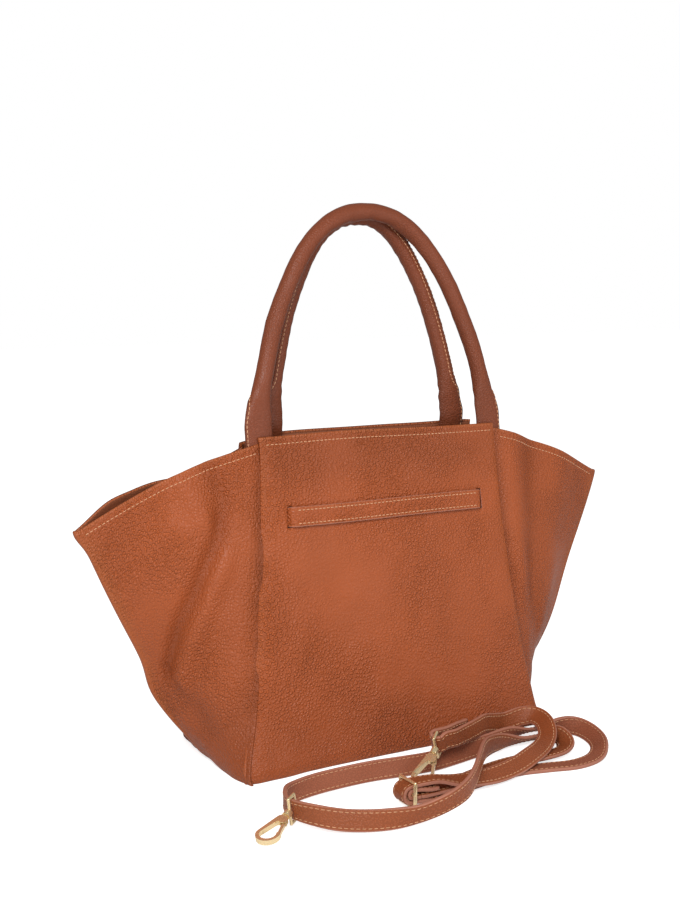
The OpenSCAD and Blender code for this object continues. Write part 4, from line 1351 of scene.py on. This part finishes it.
    def band(self) -> None:
        """Makes the narrow band threaded through the front."""
        s = self.shape
        line = spline_points(np.array([
            (-111.5, -3.95), (-104, -3.9), (-99.2, -3.4), (-97.4, -1.2), (-95.2, 1.9),
            (-91, 3.3), (-80, 3.55), (-40, 3.7), (0, 3.8), (40, 3.7), (80, 3.55), (92, 3.1),
            (95.6, 1.7), (97.4, -1.2), (99.2, -3.4), (104, -3.9), (111.5, -3.95)]), 6)
        path = s.on_panel(False, line[:, 0], s.band_z, line[:, 1])
        a = s.tilt(False)
        up = np.array([0.0, math.sin(a), math.cos(a)])
        path = path + up * (0.35 * np.sin(line[:, 0] / 31.0))[:, None]
        piece, w, n = ribbon("front_band_strap", path, np.tile(up, (len(path), 1)), 17.0, 2.5,
                             [self.finishes.leather, self.finishes.edge,
                              self.finishes.lining_leather], wear=0.5)
        self._own(piece, Slot.LEATHER, "front_band")
        keep = np.abs(line[:, 0]) < 93.5
        face = 1.25 if float(n[len(n) // 2][1]) < 0 else -1.25
        rows = [((path + n * face + w * q)[keep], (n * np.sign(face))[keep])
                for q in (-5.6, 5.6)]
        sewn = stitches("front_band_stitches", rows, self.finishes.thread, pitch=3.9,
                        thick=0.8)
        self._own(sewn, Slot.LEATHER)

    def build(self) -> None:
        """Makes all of the bag's own pieces."""
        self.panel(False)
        self.panel(True)
        for side in Side:
            self.wing(side)
            self.ring_loop(side)
        self.base()
        self.lining()
        self.facing(False)
        self.facing(True)
        self.band()

    def dress(self) -> None:
        """Sews the mouth's stitches."""
        sewn = stitches("mouth_stitches", self.sewn, self.finishes.thread, **SEAM_STITCH)
        self._own(sewn, Slot.LEATHER)


# Handles


@dataclass
class Handle:
    """One rolled handle with its two flat ends, in millimetres."""

    name: str
    ends_x: float
    tab_y: float
    rise: float
    lean: float
    tab_tilt: float
    seam: float
    finishes: Finishes
    hinge_z: float = 285.5
    gap: float = 3.2
    radius: float = 7.6
    tab_half: float = 12.2
    tab_deep: float = 2.2
    flare: float = 44.0
    tab_down: float = 41.0
    sides: int = 30

    def middle(self, q: np.ndarray) -> np.ndarray:
        """The handle's middle line in its own plane.

        Args:
            q: where along it, from -90 to 90 degrees.

        Returns:
            The points, across and up.
        """
        s = np.sin(np.radians(q))
        z = self.gap + (self.rise - self.gap) * np.maximum(0, 1 - np.abs(s) ** 2.25) ** 0.73
        return np.stack([self.ends_x * s, z], -1)

    def rings(self) -> tuple[np.ndarray, ...]:
        """Lays out the sections from one tab over the top to the other.

        Returns:
            Middle points, outward sides, depth directions, half widths, half depths and
            how round each section is.
        """
        t = np.linspace(-1, 1, 191)
        q = 90 * t * (1.5 - 0.5 * t * t)
        arch = self.middle(q)
        low = np.linspace(-self.tab_down, 0.0, 17)
        left = np.stack([np.full(17, -self.ends_x), low], -1)
        right = np.stack([np.full(17, self.ends_x), low[::-1]], -1)
        line = np.concatenate([left, arch, right])
        reach = along(line, 0)
        even = np.linspace(0, reach[-1], 221)
        line = np.stack([np.interp(even, reach, line[:, i]) for i in (0, 1)], -1)
        way = unit(np.gradient(line, axis=0))
        side = np.stack([-way[:, 1], way[:, 0]], -1)
        z = line[:, 1]
        angle = self.tab_tilt + (self.lean - self.tab_tilt) * smooth((z + 8) / 20)
        rounding = smooth((z - self.gap) / self.flare)
        wide = lerp(self.tab_half, self.radius, rounding)
        deep = lerp(self.tab_deep, self.radius * 0.97, rounding)
        end = np.clip((z + self.tab_down) / 13, 0.02, 1)
        wide = np.where(z < 0, wide * np.sqrt(1 - (1 - end) ** 2 * 0.98), wide)
        c, s = np.cos(angle), np.sin(angle)
        origin = np.array([0.0, self.tab_y, self.hinge_z])

        def turned(x: np.ndarray, y: np.ndarray, h: np.ndarray) -> np.ndarray:
            """Turns a plane direction by each section's lean."""
            return np.stack([x, y * c + h * s, -y * s + h * c], -1)

        nil = np.zeros(len(line))
        mids = origin + turned(line[:, 0], nil, z)
        return (mids, turned(side[:, 0], nil, side[:, 1]), turned(nil, nil + 1, nil), wide,
                deep, rounding)

    def surface(self) -> tuple[np.ndarray, np.ndarray, np.ndarray]:
        """Works out the leather's surface.

        Returns:
            The points as sections by sides, the length run, and the seam's angle.
        """
        mids, out, depth, wide, deep, rnd = self.rings()
        run = along(mids, 0)
        seam = self.seam * smooth((rnd - 0.2) / 0.8)
        w = np.radians(seam)[:, None] + np.radians(np.arange(self.sides) * 360 / self.sides)
        round_c, round_s = np.cos(w), np.sin(w)
        power = lerp(0.72, 1.0, rnd)[:, None]
        a = np.sign(round_c) * np.abs(round_c) ** power * wide[:, None]
        b = np.sign(round_s) * np.abs(round_s) ** power * deep[:, None]
        from_seam = np.degrees((w - np.radians(seam)[:, None] + math.pi) % (2 * math.pi)
                               - math.pi)
        fin = bell(from_seam, 0, 11) * lerp(1.3, 0.75, rnd)[:, None]
        groove = -0.35 * bell(np.abs(from_seam), 30, 12) * rnd[:, None]
        inner = bell(np.degrees(w) % 360, 180, 60)
        top = bell(np.arange(len(run)), len(run) / 2, 26)[:, None]
        wrinkle = 0.25 + 2.6 * (rnd * (1 - rnd))[:, None] + 0.5 * inner * top
        waves = wavy(run[:, None], np.degrees(w) * 0.13, int(self.rise), 13)
        long = 0.3 * wavy(run[:, None] * 0.3, np.degrees(w) * 0.1, 4, 16)
        scale = 1 + (fin + groove + wrinkle * waves * 0.55 + long * rnd[:, None]) / np.maximum(
            np.hypot(a, b), 4.5)
        pts = (mids[:, None, :] + out[:, None, :] * (a * scale)[..., None]
               + depth[:, None, :] * (b * (1 + (scale - 1) * rnd[:, None]))[..., None])
        return pts, run, seam

    def build(self) -> bpy.types.Object:
        """Makes the handle's leather.

        Returns:
            The object.
        """
        pts, run, seam = self.surface()
        k, m = pts.shape[:2]
        rnd = self.rings()[5][:, None]
        turn = (seam[:, None] + np.arange(m) * 360 / m) % 360
        # Painted shading on the handle's inner side, where its legs face each other, over a
        # slight darkening all round.
        tone_and_painted_shading = 0.08 + 0.6 * bell(turn, 180, 60) * (1 - 0.5 * rnd)
        uv = np.stack(np.broadcast_arrays(run[:, None], np.arange(m)[None, :] * 1.62), -1) * MM
        wear = np.zeros((k, m))
        wear[:, 0] = 0.8
        wear[:, [1, -1]] = 0.25
        piece = new_piece(f"{self.name}_leather", pts.reshape(-1, 3), tube_faces(k, m),
                          [self.finishes.handle], uv=uv.reshape(-1, 2),
                          layers={"grain": np.full(k * m, 0.75), "wear": wear.ravel(),
                                  "tone_and_painted_shading": tone_and_painted_shading.ravel()})
        side = self.name.removesuffix("_handle")
        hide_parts(f"{side}_handle_cover", f"{side}_handle_core", f"{side}_left_tab",
                    f"{side}_right_tab")
        self._bend(piece)
        LOG.info("%s made, %.0f mm along", piece.name, run[-1])
        return piece

    def dress(self) -> bpy.types.Object:
        """Sews the handle's seam.

        Returns:
            The stitches.
        """
        pts = self.surface()[0]
        mids = self.rings()[0][3:-3]
        rows = []
        for i in (2, self.sides - 2):
            path = pts[3:-3, i]
            nxt, prv = pts[3:-3, (i + 1) % self.sides], pts[3:-3, (i - 1) % self.sides]
            way = np.gradient(path, axis=0)
            n = unit(np.cross(nxt - prv, way))
            n = n * np.sign(np.sum(n * (path - mids), -1, keepdims=True))
            rows.append((path, n))
        piece = stitches(f"{self.name}_stitches", rows, self.finishes.thread, **SEAM_STITCH)
        self._bend(piece)
        return piece

    def _bend(self, piece: bpy.types.Object) -> None:
        """Bakes a piece's placement into its mesh."""
        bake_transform(piece)


# Shoulder strap


Row = tuple[float, float, float, float, float, float]


@dataclass
class ShoulderStrap:
    """The loose shoulder strap; its route is in metres."""

    finishes: Finishes
    width: float = 0.017
    thick: float = 0.0032
    wire: float = 0.0026
    gap: float = 0.0004
    fold_r: float = 0.0055
    slider: tuple = (-0.063, -0.176)
    ground: float = 0.0003
    wrap_gap: float = 0.0002
    hook2_turn: float = math.radians(215)
    hook2_tilt: float = math.radians(28)
    hook2_fold: tuple = (0.0, -0.127, 0.029)
    row_in: float = 5.9

    def __post_init__(self) -> None:
        """Works out the slider's levels."""
        self.low_z = self.ground + self.wire + self.gap + self.thick / 2
        self.bar_z = (self.low_z + self.thick / 2 + self.gap + self.thick + self.wrap_gap
                      + self.wire / 2)
        self.top_z = 2 * self.bar_z - self.low_z
        self.wrap_r = self.wire / 2 + self.wrap_gap + self.thick / 2

    def at(self, x: float, y: float, lift: float, across: tuple) -> Row:
        """A point of the route.

        Args:
            x, y: where it is.
            lift: the height of the strap's lowest edge.
            across: the direction of its width.

        Returns:
            Its middle and its width direction.
        """
        e = unit(np.array(across, float))
        z = lift + self.width / 2 * abs(e[2]) + self.thick / 2 * math.sqrt(1 - e[2] ** 2)
        return (x, y, z, *e)

    def level(self, x: float, z: float, y: float | None = None) -> Row:
        """A point where the strap lies flat on the slider's line."""
        return (x, self.slider[1] if y is None else y, z, *FLAT)

    def route(self) -> np.ndarray:
        """Lists the route's points.

        Returns:
            Rows of middle point and width direction.
        """
        at, lv = self.at, self.level
        turn, tilt = self.hook2_turn, self.hook2_tilt
        axis = np.array([math.cos(tilt) * math.cos(turn), math.cos(tilt) * math.sin(turn),
                         -math.sin(tilt)])
        lean = np.array([math.sin(tilt) * math.cos(turn), math.sin(tilt) * math.sin(turn),
                         math.cos(tilt)])
        side = np.cross(axis, lean)
        half_lean = (-0.18, -0.13, 1)
        lean1 = (-0.18, -0.11, 0.98)
        round_turn = np.radians([90, 45, 0, -45, -90])
        fold = [(*(self.hook2_fold + self.fold_r * (math.cos(q) * axis + math.sin(q) * side)),
                 *lean) for q in round_turn]
        sx, w, curl_r = self.slider[0], self.wrap_r, self.bar_z - self.low_z
        curl = [lv(sx - 0.001 - curl_r * math.cos(q), self.bar_z + curl_r * math.sin(q))
                for q in round_turn]
        wrap = [lv(sx - w * math.cos(q), self.bar_z - w * math.sin(q)) for q in round_turn]
        rows = [
            at(0.039, -0.1095, 0.0186, UP), at(0.027, -0.114, 0.0194, half_lean),
            at(0.013, -0.119, 0.0202, lean), *fold, at(0.016, -0.1285, 0.02, lean),
            at(0.032, -0.121, 0.019, half_lean), at(0.048, -0.1125, 0.0184, UP),
            at(0.06, -0.1055, 0.0178, UP), at(0.073, -0.097, 0.014, UP),
            at(0.086, -0.091, 0.0105, UP), at(0.098, -0.0865, 0.008, (0, 0.1, 1)),
            at(0.114, -0.088, 0.0105, (0.15, 0.2, 1)), at(0.123, -0.097, 0.0132, (0.6, 0.2, 0.8)),
            at(0.122, -0.113, 0.013, (0.8, -0.2, 0.6)),
            at(0.112, -0.13, 0.0115, (0.75, -0.6, 0.2)),
            at(0.095, -0.145, 0.009, (0.5, -0.85, -0.2)),
            at(0.074, -0.157, 0.0062, (0.3, -0.85, -0.42)),
            at(0.048, -0.167, 0.0032, (0.2, -0.85, -0.5)),
            at(0.02, -0.173, 0.003, (0.1, -0.88, -0.46)),
            at(-0.012, -0.176, 0.0076, (0, -0.95, -0.25)),
            lv(-0.036, self.top_z - 0.0012, -0.176), lv(sx + 0.012, self.top_z),
            lv(sx + 0.004, self.top_z), *curl, lv(sx + 0.004, self.low_z),
            lv(sx + 0.012, self.low_z - 0.0005), at(-0.034, -0.174, 0.0005, FLAT),
            at(-0.005, -0.168, 0.0003, FLAT), at(0.025, -0.163, 0.0003, FLAT),
            at(0.055, -0.161, 0.0003, FLAT), at(0.083, -0.167, 0.0003, FLAT),
            at(0.109, -0.173, 0.0003, FLAT), at(0.133, -0.169, 0.0003, (0.5, -0.85, 0.1)),
            at(0.15, -0.155, 0.0003, (0.7, -0.5, 0.5)),
            at(0.16, -0.135, 0.0003, (0.75, -0.1, 0.7)),
            at(0.161, -0.114, 0.0003, (0.4, 0.1, 0.9)),
            at(0.151, -0.098, 0.0003, (-0.3, -0.4, 0.85)),
            at(0.134, -0.092, 0.0005, (0, -0.85, 0.5)),
            at(0.114, -0.093, 0.0005, (0, -0.85, 0.5)), at(0.09, -0.1, 0.0005, (0, -0.3, 1)),
            at(0.064, -0.1085, 0.0003, (0, 0.2, 1)), at(0.042, -0.113, 0.0003, (0, 0.4, 0.92)),
            at(0.02, -0.117, 0.0003, (0, 0.5, 0.87)), at(-0.002, -0.1195, 0.0003, (0, 0.6, 0.8)),
            at(-0.028, -0.119, 0.0003, (0, 0.5, 0.87)),
            at(-0.065, -0.116, 0.0003, (0, 0.25, 0.97)),
            at(-0.108, -0.118, 0.0005, (0, 0.35, 0.94)), at(-0.138, -0.128, 0.002, (0, 0.2, 1)),
            at(-0.156, -0.145, 0.006, UP), at(-0.162, -0.166, 0.006, lean1),
            at(-0.153, -0.187, 0.006, UP), at(-0.133, -0.199, 0.002, (0, 0.3, 1)),
            at(-0.106, -0.21, 0.0008, (0, 0.1, 1)), at(-0.08, -0.218, 0.003, (0, -0.3, 1)),
            at(-0.056, -0.222, 0.009, (0, -0.2, 1)), at(-0.034, -0.215, 0.013, UP),
            at(-0.014, -0.198, 0.015, UP), at(0.006, -0.176, 0.0155, UP),
            at(0.026, -0.154, 0.0145, UP), at(0.046, -0.134, 0.009, UP),
            at(0.068, -0.119, 0.0035, (0, -0.3, 1)), at(0.092, -0.111, 0.0004, (0, -0.8, 0.6)),
            at(0.108, -0.1095, 0.0004, (-0.05, -0.87, 0.48)),
            at(0.121, -0.112, 0.0009, (-0.55, -0.6, 0.5)),
            at(0.129, -0.124, 0.0012, (0.2, 0, 0.98)),
            at(0.126, -0.138, 0.0009, (0.75, -0.4, 0.5)),
            at(0.113, -0.147, 0.0022, (0.45, -0.85, 0.15)), at(0.09, -0.15, 0.004, FLAT),
            at(0.06, -0.149, 0.004, FLAT), at(0.03, -0.154, 0.004, FLAT),
            at(0, -0.163, 0.0042, FLAT), at(-0.026, -0.171, 0.005, FLAT),
            lv(sx + 0.014, self.bar_z - w - 0.0003), lv(sx + 0.008, self.bar_z - w),
            lv(sx + 0.0024, self.bar_z - w), *wrap, lv(sx + 0.0024, self.bar_z + w),
            lv(sx + 0.008, self.bar_z + w - 0.0005), lv(sx + 0.016, self.bar_z + w - 0.002),
            lv(sx + 0.024, self.bar_z + w - 0.0027, self.slider[1] + 0.001),
        ]
        return np.array(rows, float)

    def build(self) -> None:
        fine = spline_points(self.route(), 6)
        path, across = fine[:, :3], fine[:, 3:]
        f = self.finishes
        piece, w, n = ribbon("shoulder_strap_leather", path / MM, across, self.width / MM,
                             self.thick / MM, [f.strap, f.edge, f.strap_back], wear=0.35)
        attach(piece, "strap")
        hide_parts("shoulder_strap")
        rows = []
        lift = self.thick / 2 / MM
        for face in (1, -1):
            for q in (-self.row_in, self.row_in):
                rows.append((path / MM + n * lift * face + w * q, n * face))
        sewn = stitches("shoulder_strap_stitches", rows, f.thread, pitch=4.6, thick=0.58,
                        share=0.72)
        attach(sewn, "strap")


# Hardware and studio


class Hardware:
    """Metal and board pieces that keep their CAD shape and get a finish and soft edges."""

    metal = ("snap_socket", "snap_stud", "left_ring", "right_ring", "slider_frame",
             "slider_bar", *HOOK_PARTS)

    def __init__(self, finishes: Finishes) -> None:
        """Keeps the finishes."""
        self.finishes = finishes

    def paint(self, name: str, finish: bpy.types.Material, edge: float) -> None:
        """Gives a CAD node a finish and softened edges.

        Args:
            name: the node.
            finish: its material.
            edge: how wide its edges are softened, in metres.
        """
        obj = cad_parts[name]
        if not obj.material_slots:
            obj.data.materials.append(finish)
        for s in obj.material_slots:
            s.material = finish
        weld = obj.modifiers.new("weld", "WELD")
        weld.merge_threshold = 1e-6
        if edge:
            bevel = obj.modifiers.new("soft_edges", "BEVEL")
            bevel.width = edge
            bevel.segments = 2
            bevel.limit_method = "ANGLE"
            bevel.angle_limit = math.radians(38)
        LOG.info("%s painted", name)

    def dress(self) -> None:
        """Paints the metal and the base board."""
        for name in self.metal:
            self.paint(name, self.finishes.gold, 0.00025 if "spring" not in name else 0.0)
        self.paint("base_board", self.finishes.board, 0.0003)


@dataclass
class Studio:
    """Camera, plain lights and the white ground."""

    place: tuple = (-0.6365, -1.0677, 0.423)
    turn: float = math.radians(-29.85)
    pitch: float = math.radians(-7.58)
    focal_px: int = 1397
    frame_px: int = 905

    def camera(self) -> None:
        """Puts the camera where the photograph was taken from."""
        cam = bpy.data.cameras.new("camera")
        cam.sensor_fit = "AUTO"
        cam.sensor_width = 36.0
        cam.lens = self.focal_px * cam.sensor_width / self.frame_px
        obj = bpy.data.objects.new("camera", cam)
        bpy.context.scene.collection.objects.link(obj)
        d = Vector((-math.sin(self.turn) * math.cos(self.pitch),
                    math.cos(self.turn) * math.cos(self.pitch), math.sin(self.pitch)))
        right = Vector((math.cos(self.turn), math.sin(self.turn), 0))
        up = right.cross(d)
        obj.matrix_world = Matrix.Translation(self.place) @ Matrix(
            (right, up, -d)).transposed().to_4x4()
        bpy.context.scene.camera = obj

    @staticmethod
    def light(name: str, place: tuple, aim: tuple, size: float, power: float) -> None:
        """Hangs one square soft light.

        Args:
            name: its name.
            place, aim: where it hangs and what it points at, in metres.
            size: the length of its sides.
            power: its watts.
        """
        lamp = bpy.data.lights.new(name, "AREA")
        lamp.size = size
        lamp.energy = power
        obj = bpy.data.objects.new(name, lamp)
        obj.location = place
        obj.rotation_euler = (Vector(aim) - Vector(place)).to_track_quat("-Z", "Y").to_euler()
        bpy.context.scene.collection.objects.link(obj)

    @staticmethod
    def world(strength: float) -> None:
        """Makes the air white to the camera and a soft light to everything else.

        Args:
            strength: how bright the soft light is.
        """
        w = bpy.data.worlds.new("white_air")
        bpy.context.scene.world = w
        w.use_nodes = True
        nodes, links = w.node_tree.nodes, w.node_tree.links
        nodes.clear()
        out = nodes.new("ShaderNodeOutputWorld")
        path = nodes.new("ShaderNodeLightPath")

        def air(power: float) -> bpy.types.NodeSocket:
            """Adds white air.

            Args:
                power: its strength.

            Returns:
                Its output socket.
            """
            node = nodes.new("ShaderNodeBackground")
            node.inputs["Color"].default_value = (1, 1, 1, 1)
            node.inputs["Strength"].default_value = power
            return node.outputs[0]

        def switch(ray: str, no: bpy.types.NodeSocket,
                   yes: bpy.types.NodeSocket) -> bpy.types.NodeSocket:
            """Adds a choice by the kind of ray.

            Args:
                ray: which kind.
                no, yes: what other rays see, and what this kind sees.

            Returns:
                Its output socket.
            """
            node = nodes.new("ShaderNodeMixShader")
            for a, b in zip((path.outputs[ray], no, yes), node.inputs):
                links.new(a, b)
            return node.outputs[0]

        lit = switch("Is Glossy Ray", air(strength), air(strength * 0.75))
        links.new(switch("Is Camera Ray", lit, air(1.0)), out.inputs[0])

    @staticmethod
    def ground() -> None:
        """Lays the white floor, which keeps the bag's shadow."""
        r = 6000.0
        g = Graph("white_floor")
        g.set(Base_Color=(0.9, 0.9, 0.9, 1), Roughness=0.9, Specular_IOR_Level=0.0)
        glow = g.add("ShaderNodeEmission", Strength=0.72)
        path = g.add("ShaderNodeLightPath")
        extra = g.add("ShaderNodeAddShader")
        pick = g.add("ShaderNodeMixShader")
        g.link(g.shader.outputs[0], extra.inputs[0])
        g.link(glow.outputs[0], extra.inputs[1])
        g.link(path.outputs["Is Camera Ray"], pick.inputs[0])
        g.link(g.shader.outputs[0], pick.inputs[1])
        g.link(extra.outputs[0], pick.inputs[2])
        g.link(pick.outputs[0], g.out.inputs[0])
        floor = new_piece("floor", np.array([(-r, -r, 0), (r, -r, 0), (r, r, 0), (-r, r, 0)]),
                          [(0, 1, 2, 3)], [g.material])

    def build(self) -> None:
        """Sets the whole studio."""
        self.camera()
        self.ground()
        self.world(0.42)
        self.light("key", (-0.95, -1.25, 1.2), (0, 0, 0.12), 0.7, 24.0)
        self.light("fill", (0.6, -1.5, 0.7), (0, 0, 0.1), 0.9, 6.0)
        view = bpy.context.scene.view_settings
        view.view_transform = "Standard"


def main() -> None:
    """Builds and dresses the whole bag."""
    logging.basicConfig(level=logging.INFO, format="%(message)s")
    Studio().build()
    finishes = Finishes()
    ShoulderStrap(finishes).build()
    shape = BagShape()
    body = Body(shape, finishes)
    body.build()
    body.dress()
    handles = (
        Handle(name="front_handle", ends_x=117.0, tab_y=shape.tab_y(False), rise=186.5,
               lean=math.radians(7.0), tab_tilt=shape.tilt(False), seam=75.0,
               finishes=finishes),
        Handle(name="back_handle", ends_x=94.0, tab_y=shape.tab_y(True), rise=182.5,
               lean=math.radians(4.2), tab_tilt=-shape.tilt(True), seam=-60.0,
               finishes=finishes),
    )
    for handle in handles:
        handle.build()
        handle.dress()
    Hardware(finishes).dress()


if __name__ == "__main__":
    main()
